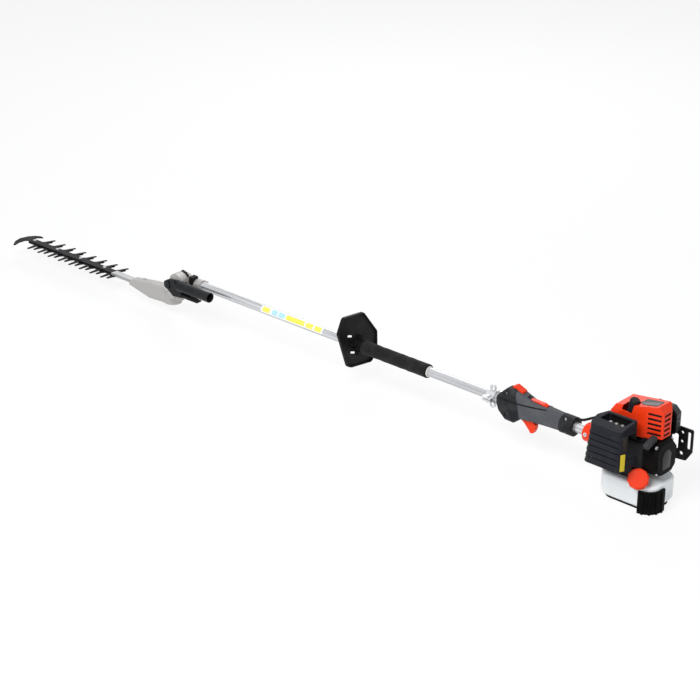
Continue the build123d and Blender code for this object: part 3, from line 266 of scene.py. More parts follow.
def dust_group() -> Tree:
    """Light dust and handling marks that break up an even colour.

    Returns:
        A group that gives the dusted colour.
    """
    thin, thick, detail, dust_colour = 0.45, 0.75, 6.0, (0.5, 0.47, 0.42)
    sheet, given = group_sheet(SHADER, "dust", {"Vector": VECTOR, "Colour": RGBA, "Amount": FLOAT,
                                                "Scale": FLOAT}, {"Colour": RGBA})
    cloud = sheet.noise(given["Vector"], given["Scale"], detail)
    ramp = sheet.take("ShaderNodeMapRange", {"Value": cloud, "From Min": thin, "From Max": thick})
    mask = sheet.maths("MULTIPLY", ramp, given["Amount"], clamp=True)
    return sheet.ended(sheet.mix(mask, given["Colour"], dust_colour))


GRAIN, WEAR, DUST = grain_group(), wear_group(), dust_group()


# ---------- finishes
def shaded(colour: Colour, gain: float, lift: float = 0.0) -> Colour:
    """A colour times a gain plus a lift, no brighter than white."""
    return tuple(min(1.0, c * gain + lift) for c in colour)


class Coat:
    """A material in the making: a Principled shader fed by the shared groups."""

    def __init__(self, name: str, **levels: object) -> None:
        """Starts a material.

        Args:
            name: the material's name.
            levels: even values of the shader's own sockets, with underscores for spaces.
        """
        self.material = bpy.data.materials.new(name)
        self.sheet = emptied(self.material)
        self.shader = self.sheet.add("ShaderNodeBsdfPrincipled", self.spaced(levels))
        self.sheet.add("ShaderNodeOutputMaterial", {"Surface": self.shader.outputs[0]})
        self.where = self.sheet.add("ShaderNodeTexCoord").outputs["Object"]

    @staticmethod
    def spaced(values: dict[str, object]) -> dict[str, object]:
        """The same values under their sockets' names."""
        return {key.replace("_", " "): value for key, value in values.items()}

    def axes(self) -> object:
        """Sockets with the X, Y and Z of the shaded point."""
        return self.sheet.add("ShaderNodeSeparateXYZ", {0: self.where}).outputs

    def placed(self, tree: Tree, **values: object) -> object:
        """Places a shared group with its own values, and gives its outputs."""
        feeds = {"Vector": self.where, **self.spaced(values)}
        return self.sheet.add("ShaderNodeGroup", feeds, node_tree=tree).outputs

    def painted(self, colour: object, pale: Colour | None = None, rubbed: float = 0.4, edge: float = 0.001,
                dusty: float = 0.0, cloud: float = 30.0) -> Socket | None:
        """Feeds the base colour.

        Args:
            colour: the clean colour, or its socket.
            pale: colour of the worn edges, if they are worn.
            rubbed: how much they are worn.
            edge: their radius in metres.
            dusty: how much dust lies on it.
            cloud: scale of the dust's clouds.

        Returns:
            The normal rounded along the edges, if they are worn.
        """
        normal = None
        if pale:
            worn = self.placed(WEAR, Colour=colour, Worn_Colour=pale, Amount=rubbed, Radius=edge)
            colour, normal = worn["Colour"], worn["Normal"]
        if dusty:
            colour = self.placed(DUST, Colour=colour, Amount=dusty, Scale=cloud)["Colour"]
        self.sheet.feed(self.shader.inputs["Base Color"], colour)
        return normal

    def skinned(self, pits: float, swell: float, rough: float, spread: float, depth: float,
                normal: Socket | None = None, lines: Socket | None = None, cells: Socket | None = None,
                fall: float = 0.0002) -> Material:
        """Feeds roughness and bump from the shared grain.

        Args:
            pits: scale of its fine pits.
            swell: scale of its slow swell.
            rough: middle roughness.
            spread: how far the roughness strays from it.
            depth: strength of the bump.
            normal: rounded normal under the bump.
            lines: height that stands in for the grain's own.
            cells: height added to the grain's own.
            fall: the bump's distance in metres.

        Returns:
            The finished material.
        """
        grain = self.placed(GRAIN, Scale=pits, Swell=swell)
        gloss = self.sheet.maths("MULTIPLY_ADD", grain["Patches"], 2 * spread, rough - spread, clamp=True)
        self.sheet.feed(self.shader.inputs["Roughness"], gloss)
        height = lines or (self.sheet.maths("ADD", cells, grain["Height"]) if cells else grain["Height"])
        bump = self.sheet.take("ShaderNodeBump", {"Strength": depth, "Distance": fall, "Height": height,
                                                  "Normal": normal})
        self.sheet.feed(self.shader.inputs["Normal"], bump)
        return self.material


@dataclass(frozen=True)
class Finish:
    """Base of the finishes: a name and a main colour; made() gives the material."""

    name: str
    colour: Colour


@dataclass(frozen=True)
class MouldedPlastic(Finish):
    """Injection-moulded plastic with a grained or glossy skin."""

    gloss: float = 0.54
    grain_depth: float = 0.7
    grain_scale: float = 650.0
    rubbed: float = 0.2
    dusty: float = 0.04
    lacquer: float = 0.0
    sheen: float = 0.10

    def made(self) -> Material:
        """Builds the material.

        Returns:
            The material.
        """
        coat = Coat(self.name, Specular_IOR_Level=self.sheen, Coat_Weight=self.lacquer, Coat_Roughness=0.08)
        normal = coat.painted(self.colour, shaded(self.colour, gain=1.6, lift=0.06), self.rubbed, edge=0.0009,
                              dusty=self.dusty, cloud=26.0)
        return coat.skinned(self.grain_scale, swell=14.0, rough=1 - self.gloss, spread=0.07,
                            depth=self.grain_depth, normal=normal)


@dataclass(frozen=True)
class WorkedMetal(Finish):
    """Bare, plated or cast metal, with lines or pits left by its making."""

    shine: float = 0.65
    lay: Lay = Lay.CAST
    line_depth: float = 0.4
    rubbed: float = 0.3
    metallic: float = 1.0
    dusty: float = 0.05
    sheen: float = 0.5

    def made(self) -> Material:
        """Builds the material.

        Returns:
            The finished material, with drawn lines and streaks where its lay runs along the shaft.
        """
        stretch, line_scale, streak_scale = (0.02, 1.0, 1.0), 700.0, 150.0
        coat = Coat(self.name, Metallic=self.metallic, Specular_IOR_Level=self.sheen)
        sheet, body, drawn = coat.sheet, self.colour, None
        if self.lay is Lay.ALONG:
            stretched = sheet.take("ShaderNodeMapping", {"Vector": coat.where, "Scale": stretch})
            drawn = sheet.noise(stretched, line_scale)
            streak = sheet.maths("MULTIPLY_ADD", sheet.noise(stretched, streak_scale), 3.0, -1.0, clamp=True)
            body = sheet.mix(streak, shaded(self.colour, gain=0.66), shaded(self.colour, gain=1.12))
        normal = coat.painted(body, shaded(self.colour, gain=1.25, lift=0.05), self.rubbed, edge=0.0007,
                              dusty=self.dusty, cloud=18.0)
        return coat.skinned(pits=520.0 if self.lay is Lay.CAST else 1400.0, swell=22.0, rough=1 - self.shine,
                            spread=0.08, depth=self.line_depth, normal=normal, lines=drawn, fall=0.00015)


@dataclass(frozen=True)
class BladeSteel(Finish):
    """Dark coated blade whose root is bare between two stations, close to its middle line."""

    bare: Colour
    bare_from: float = station(1600)
    bare_to: float = station(1738)
    bare_half: float = 0.0145
    ragged_by: float = 0.012

    def made(self) -> Material:
        """Builds the material.

        Returns:
            The material.
        """
        coat = Coat(self.name, Specular_IOR_Level=0.08)
        sheet, maths, axes = coat.sheet, coat.sheet.maths, coat.axes()
        ragged = maths("MULTIPLY", sheet.noise(coat.where, 90.0, 3.0), self.ragged_by)
        root = sheet.between(maths("ADD", axes["X"], ragged), self.bare_from, self.bare_to)
        zone = maths("MULTIPLY", root, sheet.near(axes["Y"], self.bare_half))
        body = sheet.mix(zone, self.colour, self.bare)
        normal = coat.painted(body, pale=(0.12, 0.12, 0.125))
        sheet.feed(coat.shader.inputs["Metallic"], maths("MULTIPLY_ADD", zone, 0.75, 0.15, clamp=True))
        return coat.skinned(pits=1100.0, swell=25.0, rough=0.42, spread=0.10, depth=0.35, normal=normal)


@dataclass(frozen=True)
class MilkyTank(Finish):
    """Translucent polyethylene of a fuel tank, a little darker below the fuel's level."""

    wet: Colour
    level: float
    edge: float = 0.002

    def made(self) -> Material:
        """Builds the material.

        Returns:
            The material.
        """
        coat = Coat(self.name, Subsurface_Weight=0.35, Subsurface_Scale=0.6,
                    Subsurface_Radius=(0.012, 0.012, 0.010))
        sheet = coat.sheet
        below = sheet.take("ShaderNodeMapRange", {"Value": coat.axes()["Z"], "From Min": self.level + self.edge,
                                                  "From Max": self.level - self.edge})
        body = sheet.mix(below, self.colour, self.wet)
        normal = coat.painted(body, pale=(0.97, 0.97, 0.97), edge=0.0015)
        return coat.skinned(pits=420.0, swell=16.0, rough=0.42, spread=0.07, depth=0.25, normal=normal)


@dataclass(frozen=True)
class CellFoam(Finish):
    """Closed-cell foam rubber: matt, with small open cells in its skin whose hollows are painted darker as
    painted shade.
    """

    cell: float = 1100.0

    def made(self) -> Material:
        """Builds the material.

        Returns:
            The material.
        """
        coat = Coat(self.name, Sheen_Weight=0.05, Specular_IOR_Level=0.15)
        sheet = coat.sheet
        cells = sheet.take("ShaderNodeTexVoronoi", {"Vector": coat.where, "Scale": self.cell}, feature="F1")
        # the cells' hollows are mixed towards a darker colour: painted shade in the pits
        pits = sheet.maths("POWER", sheet.maths("SUBTRACT", 1.0, cells, clamp=True), 3.0)
        body = sheet.mix(pits, self.colour, shaded(self.colour, gain=0.55))
        coat.painted(body, dusty=0.025, cloud=40.0)
        return coat.skinned(pits=700.0, swell=30.0, rough=0.88, spread=0.06, depth=0.7, cells=cells,
                            fall=0.0004)


@dataclass(frozen=True)
class TwoTonePlastic(Finish):
    """Grained grip plastic, moulded in a second shade in front of a split and behind a collar.

    The split runs from point to point, each (x, z) in metres in the row frame, and the collar's front
    is an x of the same frame.
    """

    second: Colour
    split: Pairs
    collar: float
    split_edge: float = 0.0025
    collar_edge: float = 0.0005

    def made(self) -> Material:
        """Builds the material.

        Returns:
            The material.
        """
        coat = Coat(self.name, Specular_IOR_Level=0.12)
        sheet, maths, axes = coat.sheet, coat.sheet.maths, coat.axes()
        (x0, z0), (x1, z1) = self.split
        lean = (x1 - x0) / (z1 - z0)
        line = maths("MULTIPLY_ADD", axes["Z"], lean, x0 - z0 * lean)
        past_split = maths("SUBTRACT", axes["X"], line)
        ahead = maths("MULTIPLY_ADD", past_split, 1 / self.split_edge, 0.5, clamp=True)
        behind = maths("SUBTRACT", self.collar, axes["X"])
        collar = maths("MULTIPLY_ADD", behind, 1 / self.collar_edge, 0.5, clamp=True)
        body = sheet.mix(maths("MAXIMUM", ahead, collar), self.colour, self.second)
        normal = coat.painted(body, pale=(0.16, 0.165, 0.175), rubbed=0.3, dusty=0.06)
        return coat.skinned(pits=800.0, swell=14.0, rough=0.56, spread=0.07, depth=0.7, normal=normal)


@dataclass(frozen=True)
class BandedStrip(Finish):
    """Plain strip round the shaft with plain colour bands across it and no lettering.

    Each band is (start, end, colour) in metres in the row frame, and reaches the same angle to both
    sides of the strip's middle line.
    """

    bands: tuple[tuple[float, float, Colour], ...]
    middle: float
    reach: float

    def made(self) -> Material:
        """Builds the material.

        Returns:
            The material.
        """
        coat = Coat(self.name)
        sheet, maths, axes = coat.sheet, coat.sheet.maths, coat.axes()
        height = maths("SUBTRACT", axes["Z"], SHAFT_ZERO.z)
        off_middle = maths("SUBTRACT", maths("ARCTAN2", height, axes["Y"]), self.middle)
        across = sheet.near(off_middle, self.reach)
        shade: object = self.colour
        for start, end, colour in self.bands:
            inside = maths("MULTIPLY", sheet.between(axes["X"], start, end), across)
            shade = sheet.mix(inside, shade, colour)
        coat.painted(shade, dusty=0.08)
        return coat.skinned(pits=1200.0, swell=20.0, rough=0.32, spread=0.05, depth=0.1)


SHAFT_SILVER = WorkedMetal("shaft_silver", (0.62, 0.63, 0.65), shine=0.72, lay=Lay.ALONG, line_depth=0.06,
                           rubbed=0.2, metallic=0.7)
MACHINED = WorkedMetal("machined_steel", (0.60, 0.60, 0.61), shine=0.68, lay=Lay.TURNED, line_depth=0.35)
HOT_STEEL = WorkedMetal("heat_darkened_steel", (0.13, 0.115, 0.105), shine=0.45, line_depth=0.6, metallic=0.8)
BRIGHT_ZINC = WorkedMetal("bright_zinc", (0.64, 0.65, 0.67), shine=0.72, lay=Lay.TURNED, line_depth=0.25,
                          metallic=0.75)
DIE_CAST = WorkedMetal("die_cast_aluminium", (0.43, 0.42, 0.41), shine=0.50, line_depth=0.8, rubbed=0.45,
                       metallic=0.5)
BLACK_METAL = WorkedMetal("black_lacquered_metal", (0.007, 0.007, 0.008), shine=0.62, line_depth=0.5,
                          rubbed=0.15, metallic=0.1, dusty=0.03, sheen=0.16)
BLACK_CAST = WorkedMetal("black_casting", (0.010, 0.011, 0.013), shine=0.55, line_depth=0.8, rubbed=0.15,
                         metallic=0.1, dusty=0.03, sheen=0.16)
SIGNAL_ORANGE = MouldedPlastic("signal_orange", (0.80, 0.040, 0.006), gloss=0.70, grain_depth=0.12,
                               grain_scale=700.0, rubbed=0.10, dusty=0.015, lacquer=0.12)
DEEP_BLACK = MouldedPlastic("moulded_deep_black", (0.003, 0.003, 0.0032), gloss=0.52, rubbed=0.06, dusty=0.01,
                            sheen=0.04)
CASE_BLACK = MouldedPlastic("moulded_black", (0.006, 0.006, 0.007), rubbed=0.12, dusty=0.02)
COVER_GREY = MouldedPlastic("moulded_dark_grey", (0.032, 0.034, 0.038))
GUARD_GREY = MouldedPlastic("moulded_guard_grey", (0.015, 0.016, 0.021), gloss=0.60, grain_depth=0.5,
                            rubbed=0.22, dusty=0.02)
NYLON = MouldedPlastic("clear_nylon", (0.82, 0.80, 0.74), gloss=0.60, grain_depth=0.2, grain_scale=900.0)
BOOT_RUBBER = MouldedPlastic("boot_rubber", (0.012, 0.012, 0.014), gloss=0.46, grain_depth=0.5,
                             grain_scale=500.0, rubbed=0.15, dusty=0.05)
BADGE_GLOSS = MouldedPlastic("bare_badge_plate", (0.020, 0.018, 0.022), gloss=0.80, grain_depth=0.05,
                             grain_scale=600.0, dusty=0.03, lacquer=0.15)
CAUTION_YELLOW = MouldedPlastic("plain_yellow_patch", (0.62, 0.48, 0.03), gloss=0.62, grain_depth=0.08,
                                grain_scale=900.0, rubbed=0.1)
LABEL_PALE = MouldedPlastic("bare_pale_label", (0.78, 0.79, 0.80), gloss=0.62, grain_depth=0.08,
                            grain_scale=900.0, rubbed=0.1, dusty=0.10)
GRIP_PLASTIC = TwoTonePlastic("grip_two_tone", (0.074, 0.078, 0.088), second=(0.013, 0.014, 0.017),
                              split=((0.342, 0.075), (0.362, 0.175)), collar=0.224)
FOAM_BLACK = CellFoam("grip_foam", (0.011, 0.011, 0.012))
TANK_MILK = MilkyTank("milky_tank", (0.80, 0.83, 0.85), wet=(0.76, 0.79, 0.80), level=0.040)
BLADE_COAT = BladeSteel("coated_blade", (0.007, 0.007, 0.008), bare=(0.50, 0.50, 0.50))
SPINE_COAT = BladeSteel("coated_guide_bar", (0.010, 0.0105, 0.012), bare=(0.50, 0.51, 0.52))


@functools.cache
def material_of(finish: Finish) -> Material:
    """The material of a finish, built at its first use."""
    return finish.made()


# ---------- mesh helpers
def dress(looks: dict[Finish, str]) -> None:
    """Gives carried-over CAD nodes their finishes.

    Args:
        looks: for each finish, the names of its nodes with spaces between.
    """
    for finish, nodes in looks.items():
        for node in nodes.split():
            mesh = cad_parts[node].data
            mesh.materials.clear()
            mesh.materials.append(material_of(finish))


def shown(obj: Object) -> Object:
    """Links an object to the scene."""
    bpy.context.scene.collection.objects.link(obj)
    return obj


def piece(mesh: Mesh, finish: Finish) -> Object:
    """Puts a mesh into the scene as a piece that rides on the main body.

    Args:
        mesh: the piece's mesh, in place in the row frame and under its name.
        finish: the finish it takes.

    Returns:
        The new object.
    """
    if not mesh.materials:
        mesh.materials.append(material_of(finish))
    obj = shown(bpy.data.objects.new(mesh.name, mesh))
    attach(obj, MAIN_BODY)
    LOG.info("piece %s on %s: %d faces", mesh.name, MAIN_BODY, len(mesh.polygons))
    return obj


def smooth_by_angle(mesh: Mesh, angle: float = 35.0) -> Mesh:
    """Shades a mesh smooth, with sharp edges past an angle.

    Args:
        mesh: the mesh.
        angle: the angle in degrees.

    Returns:
        The same mesh.
    """
    mesh.shade_smooth()
    work = bmesh.new()
    work.from_mesh(mesh)
    for edge in work.edges:
        if len(edge.link_faces) == 2:
            edge.smooth = edge.calc_face_angle(0.0) < math.radians(angle)
    work.to_mesh(mesh)
    work.free()
    return mesh


def kept(work: bmesh.types.BMesh, name: str, angle: float = 35.0) -> Mesh:
    """Keeps a built form as a mesh, with its faces outwards.

    Args:
        work: the form, in the row frame.
        name: the mesh's name.
        angle: angle in degrees past which its edges are sharp.

    Returns:
        The smoothed mesh.
    """
    bmesh.ops.recalc_face_normals(work, faces=work.faces)
    mesh = bpy.data.meshes.new(name)
    work.to_mesh(mesh)
    work.free()
    return smooth_by_angle(mesh, angle)


def lathe(name: str, profile: Pairs, turns: int = 96,
          wobble: Callable[[float, float], float] = lambda x, angle: 0.0) -> Mesh:
    """Closed mesh turned about the shaft's axis.

    Args:
        name: the mesh's name.
        profile: closed outline of (x, radius) points in millimetres.
        turns: number of segments round the axis.
        wobble: millimetres added to the radius at (x, angle).

    Returns:
        The mesh in the row frame.
    """
    work = bmesh.new()
    rings = []
    for x, radius in profile:
        angles = [2 * math.pi * i / turns for i in range(turns)]
        spokes = [(radius + wobble(x, angle), angle) for angle in angles]
        rings.append([work.verts.new(place((x, r * math.cos(a), r * math.sin(a)))) for r, a in spokes])
    for one, two in zip(rings, rings[1:] + rings[:1]):
        for i in range(turns):
            j = (i + 1) % turns
            work.faces.new((one[i], one[j], two[j], two[i]))
    return kept(work, name)


def plate(name: str, outline: Pairs, thickness: float, stand: Matrix, bevel: float, corner: float) -> Mesh:
    """Flat plate with bevelled edges and rounded corners, in millimetres.

    Args:
        name: the mesh's name.
        outline: corner points (x, y) in its own plane.
        thickness: its thickness along its own +Z.
        stand: where its plane stands in the shaft frame.
        bevel: width of the bevel along its edges.
        corner: radius of its corners.

    Returns:
        The mesh in the row frame.
    """
    work = bmesh.new()
    low, high = ([work.verts.new((x, y, z)) for x, y in outline] for z in (0, thickness))
    work.faces.new(low[::-1])
    work.faces.new(high)
    count = len(outline)
    for i in range(count):
        work.faces.new((low[i], low[(i + 1) % count], high[(i + 1) % count], high[i]))
    bmesh.ops.recalc_face_normals(work, faces=work.faces)

    def rise(edge: bmesh.types.BMEdge) -> float:
        """How far an edge climbs along the plate's thickness."""
        return abs((edge.verts[0].co - edge.verts[1].co).z)

    level, sharp = 1e-6, 1.0
    upright = [e for e in work.edges if rise(e) > thickness / 2]
    bmesh.ops.bevel(work, geom=upright, offset=corner, segments=5, affect="EDGES", profile=0.5)
    rim = [e for e in work.edges if rise(e) < level and e.calc_face_angle(0.0) > sharp]
    bmesh.ops.bevel(work, geom=rim, offset=bevel, segments=3, affect="EDGES", profile=0.5)
    for vert in work.verts:
        vert.co = place(stand @ vert.co)
    return kept(work, name, 40)


def rectangle(half: float, tall: float) -> Pairs:
    """Outline of a rectangle round the origin, from half its width and half its height."""
    return [(-half, -tall), (half, -tall), (half, tall), (-half, tall)]


def wrapped_sheet(name: str, rear: Point, front: Point, middle: float, half: float,
                  thickness: float = 0.18) -> Mesh:
    """Thin sheet wrapped on a tube or cone round the shaft's axis.

    Args:
        name: the mesh's name.
        rear: (x, radius) of its rear edge in millimetres.
        front: (x, radius) of its front edge.
        middle: angle of its middle line, upwards from the left, in degrees.
        half: half of its angle round the axis.
        thickness: its thickness in millimetres.

    Returns:
        The mesh in the row frame.
    """
    steps, along = 24, 30
    work = bmesh.new()
    grid = []
    for i in range(along + 1):
        x, r = (a + (b - a) * i / along for a, b in zip(rear, front))
        turns = (math.radians(middle - half + 2 * half * j / steps) for j in range(steps + 1))
        grid.append([work.verts.new(place((x, r * math.cos(t), r * math.sin(t)))) for t in turns])
    for one, two in zip(grid, grid[1:]):
        for j in range(steps):
            work.faces.new((one[j], two[j], two[j + 1], one[j + 1]))
    bmesh.ops.recalc_face_normals(work, faces=work.faces)
    bmesh.ops.solidify(work, geom=work.faces[:], thickness=-thickness / PER_METRE)
    return kept(work, name)


def settled(obj: Object) -> Mesh:
    """Turns what an object's curve or modifiers make into a mesh.

    Args:
        obj: the object, which is removed.

    Returns:
        The plain mesh.
    """
    shown(obj)
    bpy.context.view_layer.update()
    graph = bpy.context.evaluated_depsgraph_get()
    mesh = bpy.data.meshes.new_from_object(obj.evaluated_get(graph), depsgraph=graph)
    bpy.data.objects.remove(obj)
    return mesh


# ---------- geometry trees
class GeometryPlan:
    """A Geometry Nodes tree with named sizes, run once on a carrier mesh and kept as a plain mesh."""

    def __init__(self, name: str, *sizes: str) -> None:
        """Starts the tree.

        Args:
            name: the tree's name.
            sizes: names of its number inputs.
        """
        inputs = {"Geometry": GEOMETRY, **dict.fromkeys(sizes, FLOAT), "Material": "NodeSocketMaterial"}
        self.sheet, self.given = group_sheet("GeometryNodeTree", name, inputs, {"Geometry": GEOMETRY})

    def spread(self, points: Socket, instance: Socket, rotation: Socket) -> Socket:
        """Sets a turned instance on every point."""
        feeds = {"Points": points, "Instance": instance, "Rotation": rotation}
        return self.sheet.take("GeometryNodeInstanceOnPoints", feeds)

    def cylinder(self, radius: str, sides: int) -> Socket:
        """Upright prism as tall as the head, with that input as its radius."""
        feeds = {"Vertices": sides, "Radius": self.given[radius], "Depth": self.given["Head Height"]}
        return self.sheet.take("GeometryNodeMeshCylinder", feeds, fill_type="NGON")

    def line(self) -> Socket:
        """The carrier's edges as a curve."""
        return self.sheet.take("GeometryNodeMeshToCurve", {"Mesh": self.given["Geometry"]})

    def circle(self, radius: str, points: int) -> Socket:
        """Circle with that input as its radius."""
        feeds = {"Resolution": points, "Radius": self.given[radius]}
        return self.sheet.take("GeometryNodeCurvePrimitiveCircle", feeds)

    def swept(self, curve: Socket, profile: Socket, caps: bool) -> Socket:
        """Runs a profile along a curve, with closed ends if asked."""
        feeds = {"Curve": curve, "Profile Curve": profile, "Fill Caps": caps}
        return self.sheet.take("GeometryNodeCurveToMesh", feeds)

    def ended(self, *parts: Socket) -> GeometryPlan:
        """Joins the parts, realizes their instances and sets the material.

        Args:
            parts: the parts' geometry.

        Returns:
            The finished plan.
        """
        sheet = self.sheet
        join = sheet.add("GeometryNodeJoinGeometry")
        for part in parts:
            sheet.feed(join.inputs[0], part)
        real = sheet.take("GeometryNodeRealizeInstances", {0: join.outputs[0]})
        paint = {"Geometry": real, "Material": self.given["Material"]}
        sheet.ended(sheet.take("GeometryNodeSetMaterial", paint))
        return self

    def run(self, name: str, carried: Mesh, finish: Finish, angle: float, **sizes: float) -> Mesh:
        """Runs the tree on a carrier mesh.

        Args:
            name: the new mesh's name.
            carried: the points or lines that the tree works on.
            finish: the finish that its Material input takes.
            angle: angle in degrees past which the result's edges are sharp.
            sizes: its other inputs in millimetres, with underscores for spaces.

        Returns:
            The result, as a plain mesh in the row frame.
        """
        obj = bpy.data.objects.new(name + "_carrier", carried)
        live = obj.modifiers.new("plan", "NODES")
        live.node_group = self.sheet.tree
        values = {key: size / PER_METRE for key, size in sizes.items()}
        values["Material"] = material_of(finish)
        for item in self.sheet.tree.interface.items_tree:
            key = item.name.replace(" ", "_")
            if item.in_out == "INPUT" and key in values:
                live[item.identifier] = values[key]
        mesh = settled(obj)
        mesh.name = name
        return smooth_by_angle(mesh, angle)


def cap_screw_plan() -> GeometryPlan:
    """Socket-head screws: a round head with its hexagon socket on every point.

    Returns:
        The plan.
    """
    plan = GeometryPlan("cap_screws", "Head Radius", "Head Height", "Socket Radius")
    sheet, given = plan.sheet, plan.given
    raised = 0.45
    rise = sheet.take("ShaderNodeCombineXYZ", {"Z": sheet.maths("MULTIPLY", given["Head Height"], raised)})
    lifted = sheet.take("GeometryNodeTransform", {"Geometry": plan.cylinder("Socket Radius", 6),
                                                  "Translation": rise})
    solids = {"Mesh 1": plan.cylinder("Head Radius", 28), "Mesh 2": lifted}
    carved = sheet.take("GeometryNodeMeshBoolean", solids, operation="DIFFERENCE")
    facing = sheet.take("GeometryNodeInputNamedAttribute", {"Name": "facing"}, data_type="FLOAT_VECTOR")
    turn = sheet.take("FunctionNodeAlignRotationToVector", {"Vector": facing}, axis="Z")
    return plan.ended(plan.spread(given["Geometry"], carved, turn))


def ribbed_tube_plan() -> GeometryPlan:
    """Corrugated tube along a line: a plain wall with a rounded ring at every pitch.

    Returns:
        The plan.
    """
    plan = GeometryPlan("ribbed_tube", "Wall Radius", "Ring Wire", "Pitch")
    line = plan.line()
    wall = plan.swept(line, plan.circle("Wall Radius", 20), True)
    ring = plan.swept(plan.circle("Wall Radius", 20), plan.circle("Ring Wire", 8), False)
    feeds = {"Curve": line, "Length": plan.given["Pitch"]}
    stops = plan.sheet.add("GeometryNodeCurveToPoints", feeds, mode="LENGTH").outputs
    return plan.ended(wall, plan.spread(stops["Points"], ring, stops["Rotation"]))


def bead_plan() -> GeometryPlan:
    """Thin round bead along a line."""
    plan = GeometryPlan("bead", "Bead Radius")
    return plan.ended(plan.swept(plan.line(), plan.circle("Bead Radius", 10), True))


CAP_SCREWS, RIBBED_TUBE, BEAD = cap_screw_plan(), ribbed_tube_plan(), bead_plan()


def carrier(points: Sequence[Vector], joined: bool = True) -> Mesh:
    """Mesh that a geometry tree works on.

    Args:
        points: its points in the row frame.
        joined: whether they make one open line.

    Returns:
        The mesh.
    """
    mesh = bpy.data.meshes.new("carrier")
    mesh.from_pydata(points, [(i, i + 1) for i in range(len(points) - 1)] if joined else [], [])
    return mesh


def spline_points(route: Sequence[Point]) -> list[Vector]:
    """Points of the smooth NURBS line that has the route as its control points.

    Args:
        route: the route's points in the shaft frame, in millimetres.

    Returns:
        Row-frame points along the line.
    """
    curve = bpy.data.curves.new("route", "CURVE")
    curve.dimensions = "3D"
    spline = curve.splines.new("NURBS")
    spline.points.add(len(route) - 1)
    for knot, point in zip(spline.points, route):
        knot.co = (*place(point), 1.0)
    spline.order_u = 3
    spline.use_endpoint_u = True
    spline.resolution_u = 16
    mesh = settled(bpy.data.objects.new("route", curve))
    found = [v.co.copy() for v in mesh.vertices]
    bpy.data.meshes.remove(mesh)
    return found


def skin_line(node: str, route: Pairs, side: int, steps: int = 12) -> list[Vector]:
    """Points where rays across the shaft meet the outside of a CAD node.

    Args:
        node: the CAD node.
        route: (x, z) corners of the line in the shaft frame.
        side: 1 to look from the left, -1 from the right.
        steps: points for each leg of the route.

    Returns:
        Row-frame points on the node's skin.
    """
    clear_of_body = 80.0
    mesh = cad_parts[node].data
    tree = BVHTree.FromPolygons([v.co for v in mesh.vertices], [tuple(p.vertices) for p in mesh.polygons])
    found = []
    for (x0, z0), (x1, z1) in zip(route, route[1:]):
        for i in range(steps):
            t = i / steps
            start = place((x0 + (x1 - x0) * t, side * clear_of_body, z0 + (z1 - z0) * t))
            hit = tree.ray_cast(start, Vector((0.0, -side, 0.0)))[0]
            if hit is not None:
                found.append(hit)
    return found


def screw_set(name: str, points: Sequence[Point], axis: Point, radius: float, height: float) -> None:
    """Adds a set of equal bright socket-head screws, in millimetres.

    Args:
        name: the set's name.
        points: middles of the heads in the shaft frame.
        axis: direction that the heads face.
        radius: radius of a head.
        height: height of a head.
    """
    middles = carrier([place(point) for point in points], joined=False)
    facing = middles.attributes.new("facing", "FLOAT_VECTOR", "POINT")
    facing.data.foreach_set("vector", [float(c) for c in axis] * len(points))
    mesh = CAP_SCREWS.run(name, middles, BRIGHT_ZINC, 35, Head_Radius=radius, Head_Height=height,
                          Socket_Radius=radius / 2)
    piece(mesh, BRIGHT_ZINC)


